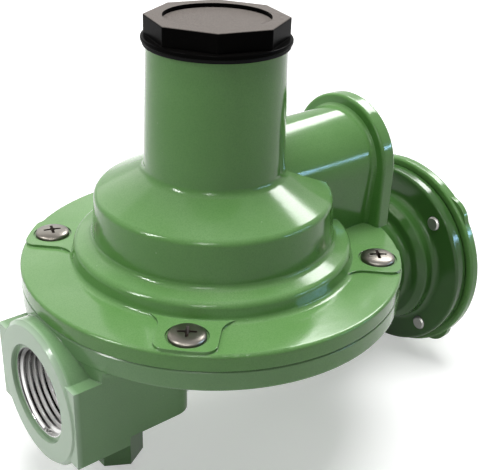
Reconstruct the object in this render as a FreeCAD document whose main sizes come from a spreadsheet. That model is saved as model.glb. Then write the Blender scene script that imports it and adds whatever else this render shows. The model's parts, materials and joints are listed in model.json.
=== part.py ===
import FreeCAD, Part
import math
import os
import re
import Sketcher

# Two-stage gas regulator: a diaphragm stage under a tall spring tower, with a smaller
# first stage on its back. Millimetres, +Z up. The origin is the centre of the outlet
# thread's mouth, and +X runs from there through the body to the first stage.

SIZES = [
    # where the main axes and planes lie
    ("outlet_face", 61.4, "outlet face to the tower's axis"),
    ("seam_height", 22.0, "outlet axis up to the seam of the two castings"),
    ("first_seam", 85.8, "tower axis to the seam of the first stage"),
    ("wall", 3.0, "wall of the castings"),
    ("slide_gap", 0.05, "running clearance on a radius"),
    ("thread_gap", 0.1, "clearance of a screwed piece on a radius"),
    ("seat_gap", 0.15, "clearance where a loose piece rests"),
    ("overlap", 0.5, "how far joined forms run into each other"),
    ("seam_chamfer", 0.35, "broken edge on both sides of the main seam"),
    # bonnet, upwards from the seam
    ("rim_radius", 57.0, "both casting rims"),
    ("rim_round", 0.9, "rounding of the rims"),
    ("bonnet_rim", 5.0, "bonnet rim thickness"),
    ("lower_foot_radius", 42.3, "foot of the lower step"),
    ("lower_edge_radius", 41.2, "edge of the lower step"),
    ("lower_edge_height", 9.9, "height of the lower step's edge"),
    ("upper_foot_radius", 35.9, "foot of the upper step"),
    ("upper_foot_height", 11.6, "height of the upper step's foot"),
    ("upper_edge_radius", 34.9, "edge of the upper step"),
    ("upper_edge_height", 24.6, "height of the upper step's edge"),
    ("tower_foot_radius", 20.5, "tower at its foot"),
    ("tower_foot_height", 31.8, "height of the tower's foot"),
    ("tower_top_radius", 19.4, "tower at its top"),
    ("tower_height", 67.6, "height of the tower's top"),
    ("tower_bore", 16.0, "radius of the bore in the tower"),
    ("step_round", 2.0, "rounding of the steps' edges"),
    ("foot_round", 1.7, "fillet at the steps' feet"),
    ("tower_foot_round", 2.4, "fillet at the tower's foot"),
    ("chamber_radius", 43.2, "opening of both chambers at the diaphragm"),
    ("pad_half_width", 8.3, "half width of a screw pad"),
    ("pad_height", 0.8, "height of a screw pad"),
    ("pad_root", 38.0, "inner end of a pad, hidden in the step"),
    ("pad_flare", 6.2, "radius of the flares that lead a pad into the step"),
    ("pad_flare_start", 46.1, "where those flares leave the pad's sides"),
    ("pad_corner", 3.6, "outer corners of a pad"),
    ("spot_face_radius", 5.7, "sunk seat of a bonnet screw's head"),
    ("spot_face_depth", 0.5, "depth of that seat"),
    ("screw_inset", 7.3, "the bonnet screws' circle inside the rim"),
    ("screw_radius", 2.4, "shank of the bonnet screws"),
    ("screw_head_radius", 5.05, "head of the bonnet screws"),
    ("screw_head_height", 2.3, "height of that head"),
    ("screw_head_round", 1.5, "rounding of that head"),
    ("screw_count", 4, "bonnet screws"),
    # vent on the bonnet
    ("vent_axis_height", 23.6, "vent axis above the seam"),
    ("vent_half_width", 14.5, "half width of the vent's neck"),
    ("vent_plate_half_width", 20.3, "half width of the vent's plate"),
    ("vent_setback", 6.0, "plate's near face inside the rim"),
    ("vent_plate_thick", 5.3, "thickness of the plate"),
    ("vent_plate_round", 1.0, "rounded edges of the plate"),
    ("vent_fillet", 1.2, "fillets all round the neck"),
    ("vent_recess_radius", 15.6, "recess that holds the screen"),
    ("vent_recess_depth", 3.4, "depth of that recess"),
    ("vent_bore", 11.2, "radius of the vent passage"),
    ("screen_thick", 0.6, "vent screen"),
    ("screen_hole", 1.15, "radius of the screen's holes"),
    ("screen_pitch", 4.0, "distance from hole to hole"),
    ("vent_ring_thick", 1.2, "retaining ring of the screen"),
    ("vent_ring_width", 1.8, "width of that ring"),
    # closing cap and its gasket, upwards from the tower's top
    ("gasket_thick", 1.1, "cap gasket"),
    ("gasket_radius", 20.3, "outer radius of the gasket"),
    ("gasket_round", 0.4, "rounding of its lower edge"),
    ("cap_flange_radius", 20.75, "round flange of the cap"),
    ("cap_flange_thick", 1.3, "thickness of that flange"),
    ("cap_flange_round", 0.4, "rounding of its edges"),
    ("cap_corner_radius", 20.0, "octagon, centre to corner"),
    ("cap_corner_round", 0.7, "rounding of the octagon's corners"),
    ("cap_top_round", 0.35, "rounding of the octagon's top edge"),
    ("cap_head_height", 5.3, "height of the octagon"),
    ("cap_top_thick", 2.0, "wall under the recess in the cap's top"),
    ("cap_turned_by", 7.5, "degrees that the cap is screwed round"),
    ("cap_recess_radius", 14.8, "round recess in the cap's top"),
    ("cap_recess_depth", 1.2, "depth of that recess"),
    ("cap_skirt_length", 8.2, "threaded skirt below the flange"),
    ("cap_skirt_bore", 12.6, "inside radius of the skirt"),
    # adjusting screw and main spring
    ("adjuster_sink", 13.0, "adjusting screw below the tower's top"),
    ("spring_washer_thick", 1.2, "washer on the main spring"),
    ("adjuster_thick", 8.0, "adjusting screw"),
    ("thread_chamfer", 0.8, "chamfer at the end of an outside thread"),
    ("washer_bore", 8.4, "hole of the washer on the main spring"),
    ("spigot_length", 2.0, "adjusting screw's spigot below that washer"),
    ("adjuster_socket", 6.4, "hexagon socket, centre to corner"),
    ("adjuster_socket_depth", 5.0, "depth of that socket"),
    ("main_coil_radius", 12.4, "main spring, centre of its wire"),
    ("main_wire", 1.1, "radius of the main spring's wire"),
    ("main_turns", 8, "turns of the main spring"),
    # diaphragm and the pieces on it, from the seam
    ("diaphragm_radius", 46.3, "rim of the diaphragm"),
    ("diaphragm_thick", 1.1, "diaphragm"),
    ("diaphragm_drop", 2.0, "top of its flat below the seam"),
    ("diaphragm_flat_radius", 33.5, "flat of the diaphragm"),
    ("diaphragm_roll_depth", 5.6, "lowest point of its roll below the seam"),
    ("roll_inner_run", 2.0, "run of the roll's inner side"),
    ("roll_outer_foot", 3.4, "foot of its outer side, inside the chamber's wall"),
    ("roll_outer_top", 0.6, "top of its outer side, inside that wall"),
    ("roll_shift", 0.7, "its upper side further in"),
    ("stem_hole_gap", 0.2, "clearance of the holes for the stem"),
    ("plate_radius", 32.0, "diaphragm plate"),
    ("plate_thick", 1.2, "diaphragm plate"),
    ("plate_lip_height", 3.0, "turned-up edge of the plate"),
    ("plate_lip_lean", 1.0, "how far that edge leans out"),
    ("plate_bend", 0.8, "bend at its foot"),
    ("stem_radius", 3.9, "pusher stem"),
    ("stem_top", 20.0, "top of the pusher stem above the seam"),
    ("stem_flange_radius", 8.5, "flange under the diaphragm"),
    ("stem_flange_thick", 2.6, "thickness of that flange"),
    ("hook_half_width", 5.0, "half width of the stem's hook"),
    ("hook_lip", 2.0, "hook in front of the stem's axis"),
    ("hook_back", 4.0, "hook behind that axis"),
    ("hook_jaw", 2.4, "thickness of the hook under its slot"),
    ("hook_slot", 1.7, "half height of the slot for the lever"),
    ("hook_play", 0.7, "room in front of the lever's end"),
    ("hook_side_gap", 0.4, "room beside the lever"),
    ("stem_proud", 1.0, "stem above the relief nut"),
    ("relief_coil_radius", 6.6, "relief spring, centre of its wire"),
    ("relief_wire", 0.7, "radius of the relief spring's wire"),
    ("relief_turns", 5, "turns of the relief spring"),
    ("relief_nut_radius", 8.6, "nut on the relief spring"),
    ("relief_nut_thick", 3.4, "thickness of that nut"),
    # lever and valve, from the tower axis and the outlet axis
    ("pivot_back", 16.0, "lever pivot to the tower axis"),
    ("pivot_height", 11.0, "lever pivot above the outlet axis"),
    ("lever_end_rise", 1.5, "long arm's end above the pivot"),
    ("lever_half_width", 3.0, "half width of the lever"),
    ("lever_end_radius", 1.5, "rounded ends of the lever"),
    ("lever_hub_radius", 3.2, "hub of the lever"),
    ("lever_arm_thick", 1.6, "arms of the lever"),
    ("lever_side_step", 0.5, "short arm narrower than the hub, each side"),
    ("pin_radius", 1.6, "lever pin"),
    ("ear_near", 3.3, "ear's inner face from the middle"),
    ("ear_far", 7.3, "ear's outer face from the middle"),
    ("ear_half_length", 3.6, "half length of an ear"),
    ("ear_top", 14.4, "top of the ears above the outlet axis"),
    ("trench_half_width", 9.6, "trench for the valve"),
    ("trench_start", 25.0, "trench's end on the outlet side"),
    ("trench_end", 14.0, "trench's end on the inlet side"),
    ("trench_floor", 7.2, "trench floor below the outlet axis"),
    ("rod_radius", 4.2, "valve rod"),
    ("rod_clearance", 0.6, "room round the rod between the ears"),
    ("rod_tail", 21.0, "rod's end behind the tower axis"),
    ("rod_slot", 1.7, "half width of the rod's slot"),
    ("rod_slot_gap", 0.3, "room beside the lever in that slot"),
    ("rod_slot_floor", 0.5, "room under the lever in it"),
    ("guide_start", -3.5, "guide web, outlet side"),
    ("guide_end", 1.5, "guide web, inlet side"),
    ("holder_radius", 6.4, "disc holder"),
    ("holder_start", 4.5, "back of the disc holder"),
    ("holder_end", 9.6, "face of the disc holder"),
    ("seat_disc_radius", 4.9, "rubber seat disc"),
    ("seat_disc_depth", 2.6, "depth of its pocket"),
    ("seat_disc_proud", 0.5, "seat disc in front of its holder"),
    ("valve_stroke", 2.0625, "travel of the valve"),
    ("nozzle_lip", 3.4, "lip of the second-stage orifice"),
    ("nozzle_bore", 2.4, "bore of the second-stage orifice"),
    ("nozzle_corner_radius", 8.0, "hexagon of the orifice, centre to corner"),
    ("nozzle_head", 4.0, "thickness of that hexagon"),
    ("nozzle_room", 1.0, "room round its corners"),
    ("nozzle_thread", 5.9, "thread of the orifice"),
    ("nozzle_length", 11.0, "length of that thread"),
    ("nozzle_cone", 1.2, "how much wider the nozzle is behind its lip"),
    ("nozzle_cone_length", 2.0, "length over which it widens"),
    ("partition_start", 20.4, "wall that holds the orifice"),
    ("partition_end", 31.0, "inlet side of that wall"),
    ("seal_thick", 0.8, "seal under an orifice"),
    ("seal_inset", 0.6, "seal inside the hexagon's corners"),
    # body casting
    ("body_rim", 6.0, "body rim thickness"),
    ("diaphragm_seat", 46.6, "recess that takes the diaphragm's rim"),
    ("bowl_top_radius", 47.0, "bowl just under the rim"),
    ("bowl_floor_radius", 36.0, "flat of the bowl's floor"),
    ("bowl_edge_radius", 43.0, "edge of the bowl's floor"),
    ("bowl_edge_height", 9.0, "outer edge height above the outlet axis"),
    ("bowl_floor_height", 4.6, "underside of the bowl above the outlet axis"),
    ("boss_radius", 21.4, "outlet boss"),
    ("boss_chamfer", 1.2, "chamfer of the outlet boss"),
    ("flat_half_width", 21.5, "half width of the wrench flats and the channel"),
    ("boss_length", 21.0, "length of the outlet boss"),
    ("flat_half_height", 12.3, "half height of the wrench flats"),
    ("flat_length", 16.6, "length of the wrench flats"),
    ("flat_setback", 0.5, "flats behind the outlet face"),
    ("channel_underside", 9.5, "channel's underside below the outlet axis"),
    ("channel_end", 22.0, "channel's end wall before the tower axis"),
    ("channel_round", 6.0, "corners of that end wall"),
    ("channel_fillet", 3.0, "fillets between the channel and the rim"),
    ("counterbore_radius", 14.6, "mouth of the outlet"),
    ("counterbore_depth", 1.2, "depth of that mouth"),
    ("outlet_thread", 13.0, "outlet bore, three-quarter inch pipe thread"),
    ("outlet_depth", 18.0, "depth of the threaded bore"),
    ("passage_height", 6.0, "half height of the passage behind it"),
    ("passage_half_width", 11.0, "half width of that passage"),
    ("tap_back", 36.2, "pressure tap to the tower axis"),
    ("tap_corner_radius", 8.1, "hexagon boss, centre to corner"),
    ("tap_bottom", 33.0, "bottom of the boss below the outlet axis"),
    ("tap_thread", 4.3, "eighth inch pipe thread of the tap"),
    ("tap_depth", 9.0, "depth of the tap's thread"),
    ("tap_drill", 2.0, "drilling up to the passage"),
    ("tap_plug_length", 7.0, "tap plug"),
    ("tap_plug_sink", 0.6, "tap plug inside its boss"),
    ("tap_socket_depth", 3.5, "depth of the plug's socket"),
    ("tap_socket", 2.7, "socket of the plug, centre to corner"),
    ("duct_radius", 16.5, "duct from the channel to the neck"),
    ("duct_start", 25.0, "duct's end in the channel, before the tower axis"),
    ("neck_radius", 17.0, "neck between the stages"),
    ("neck_start", 50.0, "where the neck leaves the duct"),
    ("neck_taper", 4.0, "length over which it does"),
    ("hub_place", 11.7, "hub's front before the first-stage seam"),
    ("hub_front_radius", 21.3, "hub's front"),
    ("hub_taper", 2.0, "length over which the hub widens"),
    ("hub_radius", 23.7, "hub"),
    ("hub_fillet", 2.2, "fillets at the hub"),
    ("hub_edge_round", 1.0, "rounding of the hub's front"),
    ("inlet_chamber_radius", 4.4, "chamber before the second-stage orifice"),
    ("inlet_chamber_end", 50.0, "end of that chamber"),
    # first stage, along +X from its seam
    ("first_rim_radius", 33.4, "body flange of the first stage"),
    ("first_rim", 5.2, "thickness of that flange"),
    ("first_groove_width", 0.8, "groove beside the first-stage seam"),
    ("first_groove_depth", 1.2, "depth of that groove"),
    ("cover_radius", 35.6, "cover of the first stage"),
    ("cover_rim", 3.8, "thickness of the cover's rim"),
    ("lug_radius", 37.0, "lugs of the cover"),
    ("dome_foot_radius", 23.4, "foot of the cover's dome"),
    ("dome_edge_radius", 21.4, "edge of the dome"),
    ("dome_height", 8.0, "height of the dome"),
    ("dome_slope", 2.0, "rise from the dome's edge to the spring housing"),
    ("dome_round", 2.0, "rounding of dome and housing"),
    ("housing_radius", 12.6, "spring housing of the cover"),
    ("housing_draft", 1.0, "how much wider that housing is at its foot"),
    ("housing_height", 20.0, "its end from the seam"),
    ("cover_inside_rise", 2.8, "straight part of the cover's inside"),
    ("breather_radius", 1.0, "breather hole of the cover"),
    ("first_screw_ring", 28.5, "circle of the first-stage screws"),
    ("first_screw_radius", 2.45, "shank of those screws"),
    ("first_screw_head", 4.4, "head of those screws"),
    ("first_screw_head_height", 3.0, "height of that head"),
    ("first_screw_tip", 0.8, "tip in front of the flange"),
    ("first_chamber_radius", 21.5, "first-stage chamber"),
    ("first_chamber_depth", 4.2, "its depth behind the seam"),
    ("first_chamber_taper", 2.0, "how much narrower its floor is"),
    ("first_diaphragm_radius", 24.6, "rim of the first diaphragm"),
    ("first_diaphragm_thick", 1.0, "first diaphragm"),
    ("first_plate_radius", 15.0, "plate on the first diaphragm"),
    ("first_plate_thick", 1.6, "thickness of that plate"),
    ("push_pin_radius", 1.5, "pin that opens the poppet"),
    ("push_pin_boss", 2.5, "boss of that pin, through the diaphragm"),
    ("push_pin_boss_proud", 1.0, "boss in front of the diaphragm"),
    ("first_coil_radius", 8.2, "first-stage spring, centre of its wire"),
    ("first_wire", 1.1, "radius of its wire"),
    ("first_turns", 4, "its turns"),
    ("first_nozzle_thread", 6.6, "thread of the first-stage orifice"),
    ("first_nozzle_bore", 2.6, "bore of that orifice"),
    ("first_lip_thick", 0.8, "lip round that bore"),
    ("first_lip_foot", 2.0, "foot of that lip"),
    ("first_lip_height", 1.3, "height of that lip"),
    ("first_nozzle_start", 6.0, "its face before the seam"),
    ("first_nozzle_end", 14.5, "its seat before the seam"),
    ("orifice_shoulder", 1.5, "seat in front of the shoulder in the casting"),
    ("poppet_cavity_radius", 8.4, "cavity of the poppet"),
    ("poppet_cavity_end", 27.0, "its end before the seam"),
    ("poppet_back", 20.0, "back of the poppet before the seam"),
    ("poppet_spigot", 3.0, "its spigot in the spring"),
    ("poppet_spigot_gap", 0.4, "room between that spigot and the wire"),
    ("poppet_seat_thick", 1.4, "rubber on the poppet"),
    ("poppet_seat_reach", 1.85, "rubber outside the orifice's bore"),
    ("poppet_opening", 1.2, "travel of the poppet"),
    ("poppet_coil_radius", 3.8, "poppet spring, centre of its wire"),
    ("poppet_wire", 0.5, "radius of its wire"),
    ("poppet_turns", 4, "its turns"),
    ("coil_gap", 0.5, "gap between the close end turns of a spring"),
    ("bypass_offset", 12.2, "drilling between the stages, off the axis"),
    ("bypass_radius", 2.4, "radius of that drilling"),
    # inlet boss on the far side
    ("inlet_place", 20.6, "inlet axis before the first-stage seam"),
    ("inlet_boss_radius", 11.0, "inlet boss"),
    ("inlet_reach", 31.0, "its mouth from the middle plane"),
    ("inlet_thread", 5.9, "quarter inch pipe thread of the inlet"),
    ("inlet_depth", 14.0, "depth of that thread"),
    ("inlet_drill", 3.6, "drilling to the poppet cavity"),
    ("filter_radius", 5.0, "inlet filter"),
    ("filter_thick", 3.0, "thickness of the filter"),
]

doc = FreeCAD.newDocument("regulator")
sheet = doc.addObject("Spreadsheet::Sheet", "Sizes")
for row, (alias, value, note) in enumerate(SIZES, 1):
    sheet.set("A%d" % row, note)
    sheet.set("B%d" % row, str(value))
    sheet.setAlias("B%d" % row, alias)
doc.recompute()
ALIASES = {alias for alias, value, note in SIZES}

# An edge's or face's direction counts as along an axis, and a place as the wanted one, within these.
ALIGNED = 0.99
NEAR = 0.001


# places that follow from the sizes above
DERIVED = {
    "screw_ring": "(rim_radius - screw_inset)",
    "vent_plate_place": "(rim_radius - vent_setback)",
    "spring_top": "(tower_height - adjuster_sink - adjuster_thick - spring_washer_thick)",
}


def spelled_out(formula):
    """The formula with the derived places written as sizes."""
    return re.sub(r"[a-z_]+", lambda m: DERIVED.get(m.group(), m.group()), str(formula))


def linked(formula):
    """The formula with each size's name pointing at the sheet."""
    text = spelled_out(formula)
    return re.sub(r"[a-z_]+", lambda m: "Sizes." + m.group() if m.group() in ALIASES else m.group(), text)


def number(formula):
    """The formula's present value."""
    return float(sheet.evalExpression(spelled_out(formula)))


def plane(body, role):
    """A body's own origin plane or axis."""
    for item in body.Origin.OriginFeatures:
        if item.Role == role:
            return item
    raise ValueError(role)


def sketch_on(body, name, role, offset=0, turned=0, across=0):
    """An empty sketch on an origin plane: moved along its normal, turned on it, moved across it."""
    sketch = body.newObject("Sketcher::SketchObject", name)
    sketch.AttachmentSupport = [(plane(body, role), "")]
    sketch.MapMode = "FlatFace"
    if turned:
        turn = FreeCAD.Rotation(FreeCAD.Vector(0, 0, 1), number(turned))
        sketch.AttachmentOffset = FreeCAD.Placement(FreeCAD.Vector(), turn)
    if across:
        sketch.setExpression(".AttachmentOffset.Base.x", linked(across))
    if offset:
        sketch.setExpression(".AttachmentOffset.Base.z", linked(offset))
    return sketch


def held(sketch, kind, *where, formula):
    """A constraint whose value follows a formula."""
    index = sketch.addConstraint(Sketcher.Constraint(kind, *where, number(formula)))
    sketch.setExpression("Constraints[%d]" % index, linked(formula))


def hold_point(sketch, line, end, x, y):
    """Places one end of a line by two formulas; a plain 0 puts it on the axis."""
    if x == 0:
        sketch.addConstraint(Sketcher.Constraint("PointOnObject", line, end, -2))
    else:
        held(sketch, "DistanceX", -1, 1, line, end, formula=x)
    if y == 0:
        sketch.addConstraint(Sketcher.Constraint("PointOnObject", line, end, -1))
    else:
        held(sketch, "DistanceY", -1, 1, line, end, formula=y)


def polygon(sketch, corners):
    """A closed outline through corners given as pairs of formulas."""
    spots = [FreeCAD.Vector(number(x), number(y), 0) for x, y in corners]
    first = sketch.GeometryCount
    for i, spot in enumerate(spots):
        sketch.addGeometry(Part.LineSegment(spot, spots[(i + 1) % len(spots)]), False)
    for i, (x, y) in enumerate(corners):
        last = first + (i - 1) % len(spots)
        sketch.addConstraint(Sketcher.Constraint("Coincident", last, 2, first + i, 1))
        hold_point(sketch, first + i, 1, x, y)


def circle(sketch, radius, x=0, y=0):
    """A circle placed by formulas."""
    centre = FreeCAD.Vector(number(x), number(y), 0)
    index = sketch.addGeometry(Part.Circle(centre, FreeCAD.Vector(0, 0, 1), number(radius)), False)
    hold_point(sketch, index, 3, x, y)
    held(sketch, "Radius", index, formula=radius)


def regular(sketch, count, corner_radius):
    """A regular polygon about the sketch's origin, its first corner on the sketch's X axis."""
    radius = number(corner_radius)
    angles = [2 * math.pi * i / count for i in range(count)]
    spots = [FreeCAD.Vector(radius * math.cos(a), radius * math.sin(a), 0) for a in angles]
    for i, spot in enumerate(spots):
        sketch.addGeometry(Part.LineSegment(spot, spots[(i + 1) % count]), False)
    around = sketch.addGeometry(Part.Circle(FreeCAD.Vector(), FreeCAD.Vector(0, 0, 1), radius), True)
    sketch.addConstraint(Sketcher.Constraint("Coincident", around, 3, -1, 1))
    held(sketch, "Radius", around, formula=corner_radius)
    for i in range(count):
        sketch.addConstraint(Sketcher.Constraint("Coincident", (i - 1) % count, 2, i, 1))
        sketch.addConstraint(Sketcher.Constraint("PointOnObject", i, 1, around))
        if i:
            sketch.addConstraint(Sketcher.Constraint("Equal", 0, i))
    sketch.addConstraint(Sketcher.Constraint("PointOnObject", 0, 1, -1))


def rim_tongue(sketch, start, half_width, radius):
    """A strip from start out to an arc about the sketch's origin."""
    x0, w, r = number(start), number(half_width), number(radius)
    x1 = math.sqrt(r * r - w * w)
    angle = math.asin(w / r)
    sketch.addGeometry(Part.LineSegment(FreeCAD.Vector(x0, -w, 0), FreeCAD.Vector(x1, -w, 0)), False)
    about = Part.Circle(FreeCAD.Vector(), FreeCAD.Vector(0, 0, 1), r)
    sketch.addGeometry(Part.ArcOfCircle(about, -angle, angle), False)
    sketch.addGeometry(Part.LineSegment(FreeCAD.Vector(x1, w, 0), FreeCAD.Vector(x0, w, 0)), False)
    sketch.addGeometry(Part.LineSegment(FreeCAD.Vector(x0, w, 0), FreeCAD.Vector(x0, -w, 0)), False)
    for a, b in ((0, 1), (1, 2), (2, 3), (3, 0)):
        sketch.addConstraint(Sketcher.Constraint("Coincident", a, 2, b, 1))
    sketch.addConstraint(Sketcher.Constraint("Coincident", 1, 3, -1, 1))
    sketch.addConstraint(Sketcher.Constraint("Horizontal", 0))
    sketch.addConstraint(Sketcher.Constraint("Horizontal", 2))
    sketch.addConstraint(Sketcher.Constraint("Vertical", 3))
    held(sketch, "Radius", 1, formula=radius)
    held(sketch, "DistanceX", -1, 1, 0, 1, formula=start)
    held(sketch, "DistanceY", -1, 1, 2, 1, formula=half_width)
    held(sketch, "DistanceY", -1, 1, 0, 1, formula="-(%s)" % half_width)


def arch(sketch, half_width, foot, centre):
    """An outline with a flat foot, two upright sides and a round top."""
    half, low, high = number(half_width), number(foot), number(centre)
    corners = [(-half, high), (-half, low), (half, low), (half, high)]
    spots = [FreeCAD.Vector(x, y, 0) for x, y in corners]
    for start, end in zip(spots, spots[1:]):
        sketch.addGeometry(Part.LineSegment(start, end), False)
    about = Part.Circle(FreeCAD.Vector(0, high, 0), FreeCAD.Vector(0, 0, 1), half)
    sketch.addGeometry(Part.ArcOfCircle(about, 0, math.pi), False)
    for kind, *where in (("Coincident", 0, 2, 1, 1), ("Coincident", 1, 2, 2, 1), ("Tangent", 2, 2, 3, 1),
                         ("Tangent", 3, 2, 0, 1), ("Vertical", 0), ("Horizontal", 1), ("Vertical", 2),
                         ("PointOnObject", 3, 3, -2)):
        sketch.addConstraint(Sketcher.Constraint(kind, *where))
    held(sketch, "Radius", 3, formula=half_width)
    held(sketch, "DistanceY", -1, 1, 3, 3, formula=centre)
    held(sketch, "DistanceY", -1, 1, 1, 1, formula=foot)


def pad_outline(sketch):
    """A screw pad along +X: flared out of the step, round corners, its end on the rim's own circle."""
    root, start, flare = number("pad_root"), number("pad_flare_start"), number("pad_flare")
    half, corner = number("pad_half_width"), number("pad_corner")
    reach = "rim_radius - rim_round / 2"
    rim = number(reach)
    wide = half + flare
    corner_x = math.sqrt((rim - corner) ** 2 - (half - corner) ** 2)
    lean = math.atan2(half - corner, corner_x)

    def line(x0, y0, x1, y1):
        sketch.addGeometry(Part.LineSegment(FreeCAD.Vector(x0, y0, 0), FreeCAD.Vector(x1, y1, 0)), False)

    def bend(x, y, radius, low, high):
        about = Part.Circle(FreeCAD.Vector(x, y, 0), FreeCAD.Vector(0, 0, 1), radius)
        sketch.addGeometry(Part.ArcOfCircle(about, low, high), False)

    line(root, -wide, root, wide)
    line(root, wide, start - flare, wide)
    bend(start, wide, flare, math.pi, 1.5 * math.pi)
    line(start, half, corner_x, half)
    bend(corner_x, half - corner, corner, lean, math.pi / 2)
    bend(0, 0, rim, -lean, lean)
    bend(corner_x, corner - half, corner, -math.pi / 2, -lean)
    line(corner_x, -half, start, -half)
    bend(start, -wide, flare, math.pi / 2, math.pi)
    line(start - flare, -wide, root, -wide)
    joints = [(0, 2, 1, 1), (1, 2, 2, 1), (8, 2, 9, 1), (9, 2, 0, 1)]
    smooth = [(2, 2, 3, 1), (3, 2, 4, 2), (4, 1, 5, 2), (5, 1, 6, 2), (6, 1, 7, 1), (7, 2, 8, 1)]
    for where in joints:
        sketch.addConstraint(Sketcher.Constraint("Coincident", *where))
    for where in smooth:
        sketch.addConstraint(Sketcher.Constraint("Tangent", *where))
    sketch.addConstraint(Sketcher.Constraint("Coincident", 5, 3, -1, 1))
    sketch.addConstraint(Sketcher.Constraint("Vertical", 0))
    for level in (1, 3, 7, 9):
        sketch.addConstraint(Sketcher.Constraint("Horizontal", level))
    for turn, end in ((2, 1), (8, 2)):
        sketch.addConstraint(Sketcher.Constraint("Horizontal", turn, end, turn, 3))
        held(sketch, "DistanceX", -1, 1, turn, 3, formula="pad_flare_start")
        held(sketch, "Radius", turn, formula="pad_flare")
    for turn in (4, 6):
        held(sketch, "Radius", turn, formula="pad_corner")
    held(sketch, "Radius", 5, formula=reach)
    held(sketch, "DistanceX", -1, 1, 0, 1, formula="pad_root")
    held(sketch, "DistanceY", -1, 1, 3, 1, formula="pad_half_width")
    held(sketch, "DistanceY", -1, 1, 7, 1, formula="-pad_half_width")


def feature(body, kind, name, sketch):
    """A feature on a sketch, not yet sized."""
    item = body.newObject("PartDesign::" + kind, name)
    item.Profile = sketch
    return item


def settled(body, item, before):
    """Recomputes, and makes sure that the feature changed the body the right way."""
    doc.recompute()
    change = body.Shape.Volume - before
    cuts = item.TypeId in ("PartDesign::Pocket", "PartDesign::Groove")
    if (change > -NEAR and cuts) or (change < NEAR and not cuts):
        raise ValueError("%s of %s changed nothing (%.4f)" % (item.Name, body.Label, change))
    return item


def volume(body):
    """Volume so far; a new body has none."""
    return body.Shape.Volume if body.Tip else 0.0


def turned(body, name, corners, about="V_Axis", cut=False):
    """A profile in the XZ plane turned about Z (V_Axis) or X (H_Axis)."""
    before = volume(body)
    sketch = sketch_on(body, name + "_profile", "XZ_Plane")
    polygon(sketch, corners)
    doc.recompute()
    item = feature(body, "Groove" if cut else "Revolution", name, sketch)
    item.ReferenceAxis = (sketch, [about])
    item.Angle = 360
    return settled(body, item, before)


def pad(body, name, sketch, length, reverse=False, middle=False):
    """Adds a sketch's outline as a prism."""
    before = volume(body)
    doc.recompute()
    item = feature(body, "Pad", name, sketch)
    item.setExpression("Length", linked(length))
    item.Reversed = reverse
    item.Midplane = middle
    return settled(body, item, before)


def pocket(body, name, sketch, length, reverse=False, middle=False):
    """Cuts a sketch's outline out as a prism, against the sketch's normal."""
    before = volume(body)
    doc.recompute()
    item = feature(body, "Pocket", name, sketch)
    item.setExpression("Length", linked(length))
    item.Reversed = reverse
    item.Midplane = middle
    return settled(body, item, before)


def patterned(body, name, items, role, count):
    """Repeats features evenly about an axis of the body."""
    item = body.newObject("PartDesign::PolarPattern", name)
    item.Originals = items
    item.Axis = (plane(body, role), [""])
    item.Angle = 360
    item.setExpression("Occurrences", linked(count))
    body.Tip = item
    doc.recompute()
    return item


def ring_edges(shape, radius, place, along="z"):
    """Names of the circular edges with this radius and this place along an axis."""
    found = []
    for i, edge in enumerate(shape.Edges, 1):
        curve = edge.Curve
        if isinstance(curve, Part.Circle) and abs(curve.Radius - number(radius)) < NEAR:
            if abs(getattr(curve.Center, along) - number(place)) < NEAR:
                found.append("Edge%d" % i)
    return found


def straight_edges(shape, test):
    """Names of the straight edges whose middle and direction pass a test."""
    found = []
    for i, edge in enumerate(shape.Edges, 1):
        if isinstance(edge.Curve, Part.Line) and test(edge.CenterOfMass, edge.Curve.Direction):
            found.append("Edge%d" % i)
    return found


def arch_edges(shape, radius, place):
    """Names of an arch's edges across X at this place: its round top and the two sides under it."""
    def side(p, d):
        return (abs(d.z) > ALIGNED and abs(p.x - number(place)) < NEAR
                and abs(abs(p.y) - number(radius)) < NEAR)

    return ring_edges(shape, radius, place, "x") + straight_edges(shape, side)


def neck_edges(shape):
    """Names of the edges where the vent's neck meets the bonnet and its own plate."""
    half = number("vent_half_width")

    def of_neck(face):
        surface = face.Surface
        if isinstance(surface, Part.Cylinder):
            return abs(surface.Radius - half) < NEAR and abs(surface.Axis.x) > ALIGNED
        side = isinstance(surface, Part.Plane) and abs(surface.Axis.y) > ALIGNED
        return side and abs(abs(face.CenterOfMass.y) - half) < NEAR

    return ["Edge%d" % i for i, edge in enumerate(shape.Edges, 1)
            if [of_neck(face) for face in shape.ancestorsOfType(edge, Part.Face)].count(True) == 1]


def rounded(body, name, edges, radius, kind="Fillet"):
    """Rounds or chamfers named edges of the body's last feature."""
    if not edges:
        raise ValueError("no edges for " + name)
    base = body.Tip
    item = body.newObject("PartDesign::" + kind, name)
    item.Base = (base, edges)
    item.setExpression("Radius" if kind == "Fillet" else "Size", linked(radius))
    body.Tip = item
    doc.recompute()
    if "Invalid" in item.State:
        raise ValueError("%s of %s: %s" % (name, body.Label, item.getStatusString()))
    return item


def new_body(label):
    """An empty body with its own label."""
    return doc.addObject("PartDesign::Body", label)


def placed(item, x=0, y=0, z=0):
    """Binds an object's place to formulas."""
    for axis, formula in (("x", x), ("y", y), ("z", z)):
        if formula:
            item.setExpression(".Placement.Base." + axis, linked(formula))
    doc.recompute()
    return item


REACH = "outlet_face - counterbore_depth"
ON_STACK = {"x": REACH, "z": "seam_height"}
ON_VALVE = {"x": REACH}
ON_FIRST = {"x": REACH + " + first_seam"}


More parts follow.
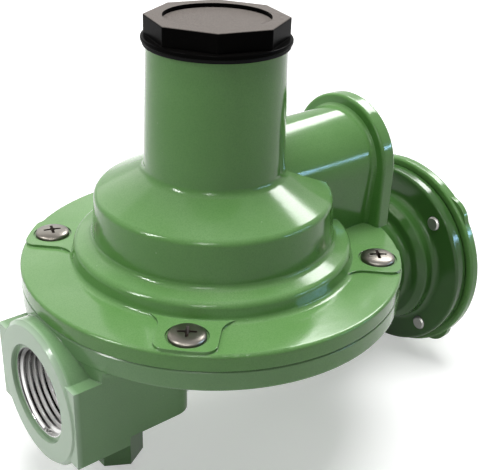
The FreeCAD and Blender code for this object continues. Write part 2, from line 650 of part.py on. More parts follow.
def make_bonnet():
    """Upper casting: stepped dome, spring tower and vent. Its own zero is the seam's centre."""
    body = new_body("bonnet")
    turned(body, "dome", [
        (0, 0),
        ("rim_radius - seam_chamfer", 0),
        ("rim_radius", "seam_chamfer"),
        ("rim_radius", "bonnet_rim"),
        ("lower_foot_radius", "bonnet_rim"),
        ("lower_edge_radius", "lower_edge_height"),
        ("upper_foot_radius", "upper_foot_height"),
        ("upper_edge_radius", "upper_edge_height"),
        ("tower_foot_radius", "tower_foot_height"),
        ("tower_top_radius", "tower_height"),
        (0, "tower_height"),
    ])
    shape = body.Shape
    rounded(body, "steps_rounded", ring_edges(shape, "lower_edge_radius", "lower_edge_height")
            + ring_edges(shape, "upper_edge_radius", "upper_edge_height"), "step_round")
    shape = body.Shape
    rounded(body, "feet_filleted", ring_edges(shape, "lower_foot_radius", "bonnet_rim")
            + ring_edges(shape, "upper_foot_radius", "upper_foot_height"), "foot_round")
    edges = ring_edges(body.Shape, "tower_foot_radius", "tower_foot_height")
    rounded(body, "tower_foot_filleted", edges, "tower_foot_round")
    rounded(body, "rim_edge", ring_edges(body.Shape, "rim_radius", "bonnet_rim"), "rim_round")
    # vent neck, then its wider plate
    sketch = sketch_on(body, "vent_neck_outline", "YZ_Plane", "tower_bore")
    arch(sketch, "vent_half_width", "bonnet_rim", "vent_axis_height")
    pad(body, "vent_neck", sketch, "vent_plate_place - tower_bore + overlap")
    sketch = sketch_on(body, "vent_plate_outline", "YZ_Plane", "vent_plate_place")
    arch(sketch, "vent_plate_half_width", "bonnet_rim", "vent_axis_height")
    pad(body, "vent_plate", sketch, "vent_plate_thick")
    rounded(body, "vent_fillets", neck_edges(body.Shape), "vent_fillet")
    for end, place in (("near", "vent_plate_place"), ("far", "vent_plate_place + vent_plate_thick")):
        edges = arch_edges(body.Shape, "vent_plate_half_width", place)
        rounded(body, "vent_plate_%s_edge" % end, edges, "vent_plate_round")
    sketch = sketch_on(body, "screw_pad_outline", "XY_Plane", "bonnet_rim - rim_round", 45)
    pad_outline(sketch)
    item = pad(body, "screw_pad", sketch, "pad_height + rim_round")
    patterned(body, "screw_pads", [item], "Z_Axis", "screw_count")
    # hollow inside, a wall's thickness behind the outside
    turned(body, "inside", [
        (0, 0),
        ("chamber_radius", 0),
        ("chamber_radius", "bonnet_rim - wall"),
        ("lower_foot_radius - wall", "bonnet_rim - wall / 2"),
        ("lower_edge_radius - wall", "lower_edge_height - wall"),
        ("upper_foot_radius - wall", "upper_foot_height - wall"),
        ("upper_edge_radius - wall", "upper_edge_height - wall"),
        ("tower_bore", "tower_foot_height - wall"),
        ("tower_bore", "tower_height"),
        (0, "tower_height"),
    ], cut=True)
    sketch = sketch_on(body, "vent_passage_circle", "YZ_Plane", "vent_plate_place + vent_plate_thick")
    circle(sketch, "vent_bore", 0, "vent_axis_height")
    pocket(body, "vent_passage", sketch, "vent_plate_place + vent_plate_thick - tower_bore - wall")
    sketch = sketch_on(body, "vent_recess_circle", "YZ_Plane", "vent_plate_place + vent_plate_thick")
    circle(sketch, "vent_recess_radius", 0, "vent_axis_height")
    pocket(body, "vent_recess", sketch, "vent_recess_depth")
    # screw holes, and the sunk seats of the screws' heads
    sketch = sketch_on(body, "screw_hole_circle", "XY_Plane", "bonnet_rim + pad_height", 45)
    circle(sketch, "screw_radius + seat_gap", "screw_ring", 0)
    hole = pocket(body, "screw_hole", sketch, "bonnet_rim + pad_height")
    sketch = sketch_on(body, "spot_face_circle", "XY_Plane", "bonnet_rim + pad_height", 45)
    circle(sketch, "spot_face_radius", "screw_ring", 0)
    spot = pocket(body, "spot_face", sketch, "spot_face_depth")
    patterned(body, "screw_holes", [hole, spot], "Z_Axis", "screw_count")
    return placed(body, **ON_STACK)


def make_lower_body():
    """Body casting of both stages. Its own zero is where the tower axis meets the outlet axis."""
    body = new_body("lower_body")
    turned(body, "bowl", [
        (0, "bowl_floor_height"),
        ("bowl_floor_radius", "bowl_floor_height"),
        ("bowl_edge_radius", "bowl_edge_height"),
        ("bowl_top_radius", "seam_height - body_rim"),
        ("rim_radius", "seam_height - body_rim"),
        ("rim_radius", "seam_height - seam_chamfer"),
        ("rim_radius - seam_chamfer", "seam_height"),
        (0, "seam_height"),
    ])
    rounded(body, "rim_edge", ring_edges(body.Shape, "rim_radius", "seam_height - body_rim"), "rim_round")
    # channel under the outlet half, flush with the rim
    sketch = sketch_on(body, "channel_outline", "XY_Plane", "seam_height - body_rim + rim_round", 180)
    rim_tongue(sketch, "channel_end", "flat_half_width", "rim_radius - rim_round / 2")
    pad(body, "channel", sketch, "seam_height - body_rim + rim_round + channel_underside", reverse=True)

    def end_corner(p, d):
        return (abs(d.z) > ALIGNED and abs(p.x + number("channel_end")) < NEAR
                and abs(abs(p.y) - number("flat_half_width")) < NEAR)

    def under_rim(p, d):
        return (abs(d.x) > ALIGNED and abs(p.z - number("seam_height - body_rim")) < NEAR
                and abs(abs(p.y) - number("flat_half_width")) < NEAR)

    rounded(body, "channel_corners", straight_edges(body.Shape, end_corner), "channel_round")
    rounded(body, "channel_fillets", straight_edges(body.Shape, under_rim), "channel_fillet")
    # outlet boss with its two pairs of flats
    turned(body, "outlet_boss", [
        ("-outlet_face", 0),
        ("-outlet_face", "boss_radius - boss_chamfer"),
        ("boss_chamfer - outlet_face", "boss_radius"),
        ("boss_length - outlet_face", "boss_radius"),
        ("boss_length - outlet_face", 0),
    ], about="H_Axis")
    sketch = sketch_on(body, "wrench_flats_outline", "YZ_Plane", "flat_setback - outlet_face")
    polygon(sketch, [("-flat_half_width", "-flat_half_height"), ("flat_half_width", "-flat_half_height"),
                     ("flat_half_width", "flat_half_height"), ("-flat_half_width", "flat_half_height")])
    pad(body, "wrench_flats", sketch, "flat_length")
    # duct, neck, hub and flange towards the first stage
    turned(body, "neck", [
        ("-duct_start", 0),
        ("-duct_start", "duct_radius"),
        ("neck_start", "duct_radius"),
        ("neck_start + neck_taper", "neck_radius"),
        ("first_seam - hub_place", "neck_radius"),
        ("first_seam - hub_place", "hub_front_radius"),
        ("first_seam - hub_place + hub_taper", "hub_radius"),
        ("first_seam - first_rim", "hub_radius"),
        ("first_seam - first_rim", "first_rim_radius"),
        ("first_seam - first_groove_width", "first_rim_radius"),
        ("first_seam - first_groove_width", "first_rim_radius - first_groove_depth"),
        ("first_seam", "first_rim_radius - first_groove_depth"),
        ("first_seam", 0),
    ], about="H_Axis")
    edges = ring_edges(body.Shape, "first_rim_radius", "first_seam - first_rim", "x")
    rounded(body, "first_rim_edge", edges, "rim_round")
    edges = (ring_edges(body.Shape, "neck_radius", "first_seam - hub_place", "x")
             + ring_edges(body.Shape, "hub_radius", "first_seam - first_rim", "x"))
    rounded(body, "hub_fillets", edges, "hub_fillet")
    edges = (ring_edges(body.Shape, "hub_front_radius", "first_seam - hub_place", "x")
             + ring_edges(body.Shape, "hub_radius", "first_seam - hub_place + hub_taper", "x"))
    rounded(body, "hub_front_edges", edges, "hub_edge_round")
    # inlet boss, towards +Y
    sketch = sketch_on(body, "inlet_boss_circle", "XZ_Plane")
    circle(sketch, "inlet_boss_radius", "first_seam - inlet_place", 0)
    pad(body, "inlet_boss", sketch, "inlet_reach", reverse=True)
    # hexagon boss of the pressure tap
    start = "overlap - channel_underside"
    sketch = sketch_on(body, "tap_boss_outline", "XY_Plane", start, 30, "-tap_back")
    regular(sketch, 6, "tap_corner_radius")
    pad(body, "tap_boss", sketch, "tap_bottom + " + start, reverse=True)
    # diaphragm chamber, its floor a wall above the bowl's underside
    turned(body, "chamber", [
        (0, "bowl_floor_height + wall"),
        ("bowl_floor_radius - wall / 2", "bowl_floor_height + wall"),
        ("bowl_edge_radius - wall", "bowl_edge_height + wall / 2"),
        ("chamber_radius", "seam_height - body_rim / 2"),
        ("chamber_radius", "seam_height - diaphragm_thick"),
        ("diaphragm_seat", "seam_height - diaphragm_thick"),
        ("diaphragm_seat", "seam_height"),
        (0, "seam_height"),
    ], cut=True)
    # trench for the rod, open to the chamber
    sketch = sketch_on(body, "trench_outline", "XY_Plane", "bowl_floor_height + wall")
    polygon(sketch, [("-trench_start", "-trench_half_width"), ("trench_end", "-trench_half_width"),
                     ("trench_end", "trench_half_width"), ("-trench_start", "trench_half_width")])
    pocket(body, "trench", sketch, "bowl_floor_height + wall + trench_floor")
    # outlet: mouth, threaded bore and the low passage behind it
    turned(body, "outlet_bore", [
        ("-outlet_face", 0),
        ("-outlet_face", "counterbore_radius"),
        ("counterbore_depth - outlet_face", "counterbore_radius"),
        ("counterbore_depth - outlet_face", "outlet_thread"),
        ("outlet_depth - outlet_face", "outlet_thread"),
        ("outlet_depth - outlet_face", 0),
    ], about="H_Axis", cut=True)
    sketch = sketch_on(body, "passage_outline", "YZ_Plane", "-trench_start")
    polygon(sketch, [("-passage_half_width", "-passage_height"), ("passage_half_width", "-passage_height"),
                     ("passage_half_width", "passage_height"), ("-passage_half_width", "passage_height")])
    pocket(body, "passage", sketch, "outlet_face - outlet_depth - trench_start + overlap")
    # ears for the lever's pin
    for side, start in (("near", "-ear_far"), ("far", "ear_near")):
        sketch = sketch_on(body, side + "_ear_outline", "XY_Plane", "-trench_floor")
        polygon(sketch, [("-pivot_back - ear_half_length", start),
                         ("-pivot_back + ear_half_length", start),
                         ("-pivot_back + ear_half_length", start + " + ear_far - ear_near"),
                         ("-pivot_back - ear_half_length", start + " + ear_far - ear_near")])
        pad(body, side + "_ear", sketch, "trench_floor + ear_top")
    sketch = sketch_on(body, "pin_hole_circle", "XZ_Plane")
    circle(sketch, "pin_radius + slide_gap", "-pivot_back", "pivot_height")
    pocket(body, "pin_hole", sketch, "2 * (ear_far + overlap)", middle=True)
    # web that guides the rod
    sketch = sketch_on(body, "guide_web_outline", "XY_Plane", "-trench_floor")
    polygon(sketch, [("guide_start", "-trench_half_width"), ("guide_end", "-trench_half_width"),
                     ("guide_end", "trench_half_width"), ("guide_start", "trench_half_width")])
    pad(body, "guide_web", sketch, "trench_floor + rod_radius + wall")
    sketch = sketch_on(body, "guide_bore_circle", "YZ_Plane", "guide_end")
    circle(sketch, "rod_radius + slide_gap")
    pocket(body, "guide_bore", sketch, "guide_end - guide_start")
    sketch = sketch_on(body, "rod_clearance_circle", "YZ_Plane", "guide_start")
    circle(sketch, "rod_radius + rod_clearance")
    pocket(body, "rod_clearance", sketch, "guide_start + trench_start")
    # seat of the second-stage orifice and the chamber before it
    turned(body, "orifice_bore", [
        ("trench_end - overlap", 0),
        ("trench_end - overlap", "nozzle_corner_radius + nozzle_room"),
        ("partition_start", "nozzle_corner_radius + nozzle_room"),
        ("partition_start", "nozzle_thread + thread_gap"),
        ("partition_end", "nozzle_thread + thread_gap"),
        ("partition_end", "inlet_chamber_radius"),
        ("inlet_chamber_end", "inlet_chamber_radius"),
        ("inlet_chamber_end", 0),
    ], about="H_Axis", cut=True)
    # first stage: chamber, orifice bore and poppet cavity
    turned(body, "first_chamber", [
        ("first_seam - poppet_cavity_end", 0),
        ("first_seam - poppet_cavity_end", "poppet_cavity_radius"),
        ("first_seam - first_nozzle_end + orifice_shoulder", "poppet_cavity_radius"),
        ("first_seam - first_nozzle_end + orifice_shoulder", "first_nozzle_thread + thread_gap"),
        ("first_seam - first_chamber_depth", "first_nozzle_thread + thread_gap"),
        ("first_seam - first_chamber_depth", "first_chamber_radius - first_chamber_taper"),
        ("first_seam - first_diaphragm_thick", "first_chamber_radius"),
        ("first_seam - first_diaphragm_thick", "first_diaphragm_radius + thread_gap"),
        ("first_seam", "first_diaphragm_radius + thread_gap"),
        ("first_seam", 0),
    ], about="H_Axis", cut=True)
    sketch = sketch_on(body, "bypass_circle", "YZ_Plane", "first_seam - first_chamber_depth + overlap")
    circle(sketch, "bypass_radius", 0, "-bypass_offset")
    reach = "first_seam - first_chamber_depth - inlet_chamber_end + 3 * bypass_radius"
    pocket(body, "bypass", sketch, reach)
    sketch = sketch_on(body, "riser_circle", "XY_Plane")
    circle(sketch, "bypass_radius", "inlet_chamber_end - 2 * bypass_radius", 0)
    pocket(body, "riser", sketch, "bypass_offset")
    # inlet: threaded bore and drilling
    sketch = sketch_on(body, "inlet_bore_circle", "XZ_Plane", "-inlet_reach")
    circle(sketch, "inlet_thread", "first_seam - inlet_place", 0)
    pocket(body, "inlet_bore", sketch, "inlet_depth", reverse=True)
    sketch = sketch_on(body, "filter_recess_circle", "XZ_Plane", "-inlet_reach")
    circle(sketch, "filter_radius + slide_gap", "first_seam - inlet_place", 0)
    pocket(body, "filter_recess", sketch, "inlet_depth + filter_thick", reverse=True)
    sketch = sketch_on(body, "inlet_drill_circle", "XZ_Plane", "-inlet_reach")
    circle(sketch, "inlet_drill", "first_seam - inlet_place", 0)
    pocket(body, "inlet_drilling", sketch, "inlet_reach - poppet_cavity_radius + wall", reverse=True)
    # pressure tap: threaded from below, then drilled up to the passage
    sketch = sketch_on(body, "tap_bore_circle", "XY_Plane", "-tap_bottom")
    circle(sketch, "tap_thread", "-tap_back", 0)
    pocket(body, "tap_bore", sketch, "tap_depth", reverse=True)
    sketch = sketch_on(body, "tap_drill_circle", "XY_Plane", "-tap_bottom")
    circle(sketch, "tap_drill", "-tap_back", 0)
    pocket(body, "tap_drilling", sketch, "tap_bottom", reverse=True)
    # screw holes of the rim and of the first stage
    sketch = sketch_on(body, "screw_hole_circle", "XY_Plane", "seam_height", 45)
    circle(sketch, "screw_radius + slide_gap", "screw_ring", 0)
    item = pocket(body, "screw_hole", sketch, "body_rim")
    patterned(body, "screw_holes", [item], "Z_Axis", "screw_count")
    sketch = sketch_on(body, "first_hole_circle", "YZ_Plane", "first_seam", 45)
    circle(sketch, "first_screw_radius + slide_gap", "first_screw_ring", 0)
    item = pocket(body, "first_hole", sketch, "first_rim")
    patterned(body, "first_holes", [item], "X_Axis", "screw_count")
    return placed(body, **ON_VALVE)


def make_cap():
    """Closing cap and the gasket under it, from the tower's top."""
    body = new_body("closing_cap")
    turned(body, "skirt_and_flange", [
        ("cap_skirt_bore", "-cap_skirt_length + gasket_thick"),
        ("tower_bore - thread_gap", "-cap_skirt_length + gasket_thick"),
        ("tower_bore - thread_gap", "gasket_thick"),
        ("cap_flange_radius", "gasket_thick"),
        ("cap_flange_radius", "gasket_thick + cap_flange_thick"),
        ("cap_skirt_bore", "gasket_thick + cap_flange_thick"),
    ])
    edges = (ring_edges(body.Shape, "cap_flange_radius", "gasket_thick + cap_flange_thick")
             + ring_edges(body.Shape, "cap_flange_radius", "gasket_thick"))
    rounded(body, "flange_edges", edges, "cap_flange_round")
    sketch = sketch_on(body, "octagon", "XY_Plane", "gasket_thick + cap_flange_thick", "cap_turned_by")
    regular(sketch, 8, "cap_corner_radius")
    pad(body, "octagon_head", sketch, "cap_head_height")

    def corner(p, d):
        return abs(d.z) > ALIGNED and math.hypot(p.x, p.y) > number("tower_bore")

    rounded(body, "octagon_corners", straight_edges(body.Shape, corner), "cap_corner_round")
    head_top = "gasket_thick + cap_flange_thick + cap_head_height"
    top = number(head_top)
    edges = ["Edge%d" % i for i, edge in enumerate(body.Shape.Edges, 1)
             if abs(edge.BoundBox.ZMin - top) < NEAR and edge.CenterOfMass.Length > number("tower_bore")]
    rounded(body, "octagon_top_edge", edges, "cap_top_round")
    sketch = sketch_on(body, "top_recess_circle", "XY_Plane", head_top)
    circle(sketch, "cap_recess_radius")
    pocket(body, "top_recess", sketch, "cap_recess_depth")
    sketch = sketch_on(body, "hollow_circle", "XY_Plane", "gasket_thick + cap_flange_thick")
    circle(sketch, "cap_skirt_bore")
    pocket(body, "hollow", sketch, "cap_head_height - cap_recess_depth - cap_top_thick", reverse=True)
    placed(body, x=REACH, z="seam_height + tower_height")
    body = new_body("cap_gasket")
    turned(body, "gasket", [
        ("tower_bore + seat_gap", 0),
        ("gasket_radius", 0),
        ("gasket_radius", "gasket_thick"),
        ("tower_bore + seat_gap", "gasket_thick"),
    ])
    rounded(body, "gasket_edge", ring_edges(body.Shape, "gasket_radius", 0), "gasket_round")
    placed(body, x=REACH, z="seam_height + tower_height")


def make_adjuster():
    """Adjusting screw in the tower's bore, and the washer between it and the main spring."""
    body = new_body("spring_washer")
    turned(body, "washer", [
        ("washer_bore", 0),
        ("tower_bore - 2 * seat_gap", 0),
        ("tower_bore - 2 * seat_gap", "spring_washer_thick"),
        ("washer_bore", "spring_washer_thick"),
    ])
    placed(body, x=REACH, z="seam_height + spring_top")
    body = new_body("adjusting_screw")
    turned(body, "screw_disc", [
        (0, 0),
        ("tower_bore - thread_gap - thread_chamfer", 0),
        ("tower_bore - thread_gap", "thread_chamfer"),
        ("tower_bore - thread_gap", "adjuster_thick - thread_chamfer"),
        ("tower_bore - thread_gap - thread_chamfer", "adjuster_thick"),
        (0, "adjuster_thick"),
    ])
    sketch = sketch_on(body, "socket_outline", "XY_Plane", "adjuster_thick")
    regular(sketch, 6, "adjuster_socket")
    pocket(body, "socket", sketch, "adjuster_socket_depth")
    turned(body, "spring_spigot", [
        (0, "-spring_washer_thick - spigot_length"),
        ("washer_bore - seat_gap", "-spring_washer_thick - spigot_length"),
        ("washer_bore - seat_gap", 0),
        (0, 0),
    ])
    placed(body, x=REACH, z="seam_height + spring_top + spring_washer_thick")


def make_diaphragm_stack():
    """Main diaphragm, its plate, the pusher stem and the relief nut, from the seam."""
    body = new_body("main_diaphragm")
    turned(body, "sheet", [
        ("stem_radius + stem_hole_gap", "-diaphragm_drop - diaphragm_thick"),
        ("diaphragm_flat_radius", "-diaphragm_drop - diaphragm_thick"),
        ("diaphragm_flat_radius + roll_inner_run", "-diaphragm_roll_depth"),
        ("chamber_radius - roll_outer_foot", "-diaphragm_roll_depth"),
        ("chamber_radius - roll_outer_top", "-diaphragm_thick"),
        ("diaphragm_radius", "-diaphragm_thick"),
        ("diaphragm_radius", 0),
        ("chamber_radius - roll_outer_top - roll_shift", 0),
        ("chamber_radius - roll_outer_foot - roll_shift", "diaphragm_thick - diaphragm_roll_depth"),
        ("diaphragm_flat_radius + roll_inner_run + roll_shift", "diaphragm_thick - diaphragm_roll_depth"),
        ("diaphragm_flat_radius + roll_shift", "-diaphragm_drop"),
        ("stem_radius + stem_hole_gap", "-diaphragm_drop"),
    ])
    placed(body, **ON_STACK)
    body = new_body("diaphragm_plate")
    turned(body, "pan", [
        ("stem_radius + stem_hole_gap", "-diaphragm_drop"),
        ("plate_radius", "-diaphragm_drop"),
        ("plate_radius + plate_lip_lean", "-diaphragm_drop + plate_lip_height"),
        ("plate_radius + plate_lip_lean - plate_thick", "-diaphragm_drop + plate_lip_height"),
        ("plate_radius - plate_thick", "-diaphragm_drop + plate_thick"),
        ("stem_radius + stem_hole_gap", "-diaphragm_drop + plate_thick"),
    ])
    rounded(body, "pan_bend", ring_edges(body.Shape, "plate_radius", "-diaphragm_drop"), "plate_bend")
    placed(body, **ON_STACK)
    body = new_body("pusher_stem")
    top = "-diaphragm_drop - diaphragm_thick"
    turned(body, "stem", [
        (0, top + " - stem_flange_thick"),
        ("stem_flange_radius", top + " - stem_flange_thick"),
        ("stem_flange_radius", top),
        ("stem_radius", top),
        ("stem_radius", "stem_top"),
        (0, "stem_top"),
    ])
    sketch = sketch_on(body, "hook_outline", "XY_Plane", top + " - stem_flange_thick / 2")
    polygon(sketch, [("-hook_lip", "-hook_half_width"), ("hook_back", "-hook_half_width"),
                     ("hook_back", "hook_half_width"), ("-hook_lip", "hook_half_width")])
    pad(body, "hook", sketch, "seam_height - pivot_height - lever_end_rise + hook_slot + hook_jaw"
        " - diaphragm_drop - diaphragm_thick - stem_flange_thick / 2", reverse=True)
    sketch = sketch_on(body, "hook_slot_outline", "XZ_Plane")
    low = "pivot_height + lever_end_rise - seam_height - hook_slot"
    high = "pivot_height + lever_end_rise - seam_height + hook_slot"
    polygon(sketch, [("-hook_lip - overlap", low), ("lever_end_radius + hook_play", low),
                     ("lever_end_radius + hook_play", high), ("-hook_lip - overlap", high)])
    pocket(body, "hook_window", sketch, "2 * (lever_half_width + hook_side_gap)", middle=True)
    placed(body, **ON_STACK)
    body = new_body("relief_nut")
    turned(body, "nut", [
        ("stem_radius + slide_gap", "stem_top - stem_proud - relief_nut_thick"),
        ("relief_nut_radius", "stem_top - stem_proud - relief_nut_thick"),
        ("relief_nut_radius", "stem_top - stem_proud"),
        ("stem_radius + slide_gap", "stem_top - stem_proud"),
    ])
    placed(body, **ON_STACK)


def make_lever():
    """Bell crank that turns the diaphragm's rise into the valve's travel, and its pin."""
    body = new_body("lever")
    sketch = sketch_on(body, "hub_circle", "XZ_Plane")
    circle(sketch, "lever_hub_radius")
    pad(body, "hub", sketch, "2 * lever_half_width", middle=True)
    sketch = sketch_on(body, "long_arm_outline", "XZ_Plane")
    polygon(sketch, [(0, "-lever_arm_thick / 2"),
                     ("pivot_back", "lever_end_rise - lever_arm_thick / 2"),
                     ("pivot_back", "lever_end_rise + lever_arm_thick / 2"),
                     (0, "lever_arm_thick / 2")])
    pad(body, "long_arm", sketch, "2 * lever_half_width", middle=True)
    sketch = sketch_on(body, "long_end_circle", "XZ_Plane")
    circle(sketch, "lever_end_radius", "pivot_back", "lever_end_rise")
    pad(body, "long_end", sketch, "2 * lever_half_width", middle=True)
    sketch = sketch_on(body, "short_arm_outline", "XZ_Plane")
    polygon(sketch, [("-lever_arm_thick / 2", "-pivot_height"), ("lever_arm_thick / 2", "-pivot_height"),
                     ("lever_arm_thick / 2", 0), ("-lever_arm_thick / 2", 0)])
    pad(body, "short_arm", sketch, "2 * (lever_half_width - lever_side_step)", middle=True)
    sketch = sketch_on(body, "short_end_circle", "XZ_Plane")
    circle(sketch, "lever_end_radius", 0, "-pivot_height")
    pad(body, "short_end", sketch, "2 * (lever_half_width - lever_side_step)", middle=True)
    sketch = sketch_on(body, "pin_bore_circle", "XZ_Plane")
    circle(sketch, "pin_radius + slide_gap")
    pocket(body, "pin_bore", sketch, "2 * (lever_half_width + overlap)", middle=True)
    placed(body, x=REACH + " - pivot_back", z="pivot_height")
    pin = doc.addObject("Part::Cylinder", "lever_pin")
    pin.setExpression("Radius", linked("pin_radius"))
    pin.setExpression("Height", linked("2 * ear_far"))
    pin.Placement = FreeCAD.Placement(FreeCAD.Vector(), FreeCAD.Rotation(FreeCAD.Vector(1, 0, 0), 90))
    placed(pin, x=REACH + " - pivot_back", y="ear_far", z="pivot_height")


def make_valve():
    """Rod with its disc holder, the rubber disc, and the orifice that it shuts."""
    body = new_body("valve_rod")
    turned(body, "rod", [
        ("-rod_tail", 0),
        ("-rod_tail", "rod_radius"),
        ("holder_start", "rod_radius"),
        ("holder_start", "holder_radius"),
        ("holder_end", "holder_radius"),
        ("holder_end", "seat_disc_radius + slide_gap"),
        ("holder_end - seat_disc_depth", "seat_disc_radius + slide_gap"),
        ("holder_end - seat_disc_depth", 0),
    ], about="H_Axis")
    sketch = sketch_on(body, "rod_slot_outline", "XY_Plane", "rod_radius + overlap")
    side = "(lever_half_width - lever_side_step + rod_slot_gap)"
    polygon(sketch, [("-pivot_back - rod_slot", "-" + side), ("-pivot_back + rod_slot", "-" + side),
                     ("-pivot_back + rod_slot", side), ("-pivot_back - rod_slot", side)])
    pocket(body, "rod_slot_cut", sketch, "rod_radius + overlap + lever_end_radius + rod_slot_floor")
    placed(body, **ON_VALVE)
    body = new_body("seat_disc")
    turned(body, "disc", [
        ("holder_end - seat_disc_depth", 0),
        ("holder_end - seat_disc_depth", "seat_disc_radius"),
        ("holder_end + seat_disc_proud", "seat_disc_radius"),
        ("holder_end + seat_disc_proud", 0),
    ], about="H_Axis")
    placed(body, **ON_VALVE)
    body = new_body("second_orifice")
    lip = "holder_end + seat_disc_proud + valve_stroke + slide_gap"
    turned(body, "nozzle", [
        (lip, "nozzle_bore"),
        (lip, "nozzle_lip"),
        (lip + " + nozzle_cone_length", "nozzle_lip + nozzle_cone"),
        ("partition_start - seal_thick - nozzle_head / 2", "nozzle_lip + nozzle_cone"),
        ("partition_start - seal_thick - nozzle_head / 2", "nozzle_thread"),
        ("partition_start - seal_thick + nozzle_length - thread_chamfer", "nozzle_thread"),
        ("partition_start - seal_thick + nozzle_length", "nozzle_thread - thread_chamfer"),
        ("partition_start - seal_thick + nozzle_length", "nozzle_bore"),
    ], about="H_Axis")
    sketch = sketch_on(body, "hexagon", "YZ_Plane", "partition_start - seal_thick - nozzle_head")
    regular(sketch, 6, "nozzle_corner_radius")
    pad(body, "hexagon_head", sketch, "nozzle_head")
    sketch = sketch_on(body, "bore_circle", "YZ_Plane", "partition_start")
    circle(sketch, "nozzle_bore")
    pocket(body, "bore", sketch, "partition_start - holder_end")
    placed(body, **ON_VALVE)
    body = new_body("second_orifice_seal")
    turned(body, "seal", [
        ("partition_start - seal_thick", "nozzle_thread + thread_gap"),
        ("partition_start", "nozzle_thread + thread_gap"),
        ("partition_start", "nozzle_corner_radius - seal_inset"),
        ("partition_start - seal_thick", "nozzle_corner_radius - seal_inset"),
    ], about="H_Axis")
    placed(body, **ON_VALVE)


def make_bonnet_screws():
    """Four pan-head screws through the bonnet's pads, from the seam."""
    body = new_body("bonnet_screws")
    seat = "bonnet_rim + pad_height - spot_face_depth"
    sketch = sketch_on(body, "head_circle", "XY_Plane", seat, 45)
    circle(sketch, "screw_head_radius", "screw_ring", 0)
    head = pad(body, "head", sketch, "screw_head_height")
    edges = ring_edges(body.Shape, "screw_head_radius", seat + " + screw_head_height")
    head_round = rounded(body, "head_edge", edges, "screw_head_round")
    sketch = sketch_on(body, "shank_circle", "XY_Plane", seat, 45)
    circle(sketch, "screw_radius", "screw_ring", 0)
    shank = pad(body, "shank", sketch, "body_rim + " + seat, reverse=True)
    patterned(body, "screws", [head, head_round, shank], "Z_Axis", "screw_count")
    placed(body, **ON_STACK)


def make_vent_fittings():
    """Screen and retaining ring in the vent's recess, from the recess's floor outwards."""
    body = new_body("vent_screen")
    sketch = sketch_on(body, "screen_circle", "YZ_Plane")
    circle(sketch, "vent_recess_radius - seat_gap")
    pad(body, "screen", sketch, "screen_thick")
    holes = [(0, 0)]
    pitch = number("screen_pitch")
    reach = number("vent_bore") - number("screen_hole")
    rows = int(reach / (pitch * math.sqrt(3) / 2))
    sketch = sketch_on(body, "hole_circles", "YZ_Plane", "screen_thick")
    for row_index in range(-rows, rows + 1):
        for column in range(-rows - 1, rows + 2):
            across = column + (0.5 if row_index % 2 else 0)
            if math.hypot(across * pitch, row_index * pitch * math.sqrt(3) / 2) <= reach:
                x = "screen_pitch * %.1f" % across if across else 0
                y = "screen_pitch * %d * sqrt(3) / 2" % row_index if row_index else 0
                circle(sketch, "screen_hole", x, y)
    pocket(body, "holes", sketch, "screen_thick")
    floor = REACH + " + vent_plate_place + vent_plate_thick - vent_recess_depth"
    placed(body, x=floor, z="seam_height + vent_axis_height")
    body = new_body("vent_ring")
    sketch = sketch_on(body, "ring_circles", "YZ_Plane", "screen_thick")
    circle(sketch, "vent_recess_radius - seat_gap")
    circle(sketch, "vent_recess_radius - seat_gap - vent_ring_width")
    pad(body, "ring", sketch, "vent_ring_thick")
    placed(body, x=floor, z="seam_height + vent_axis_height")


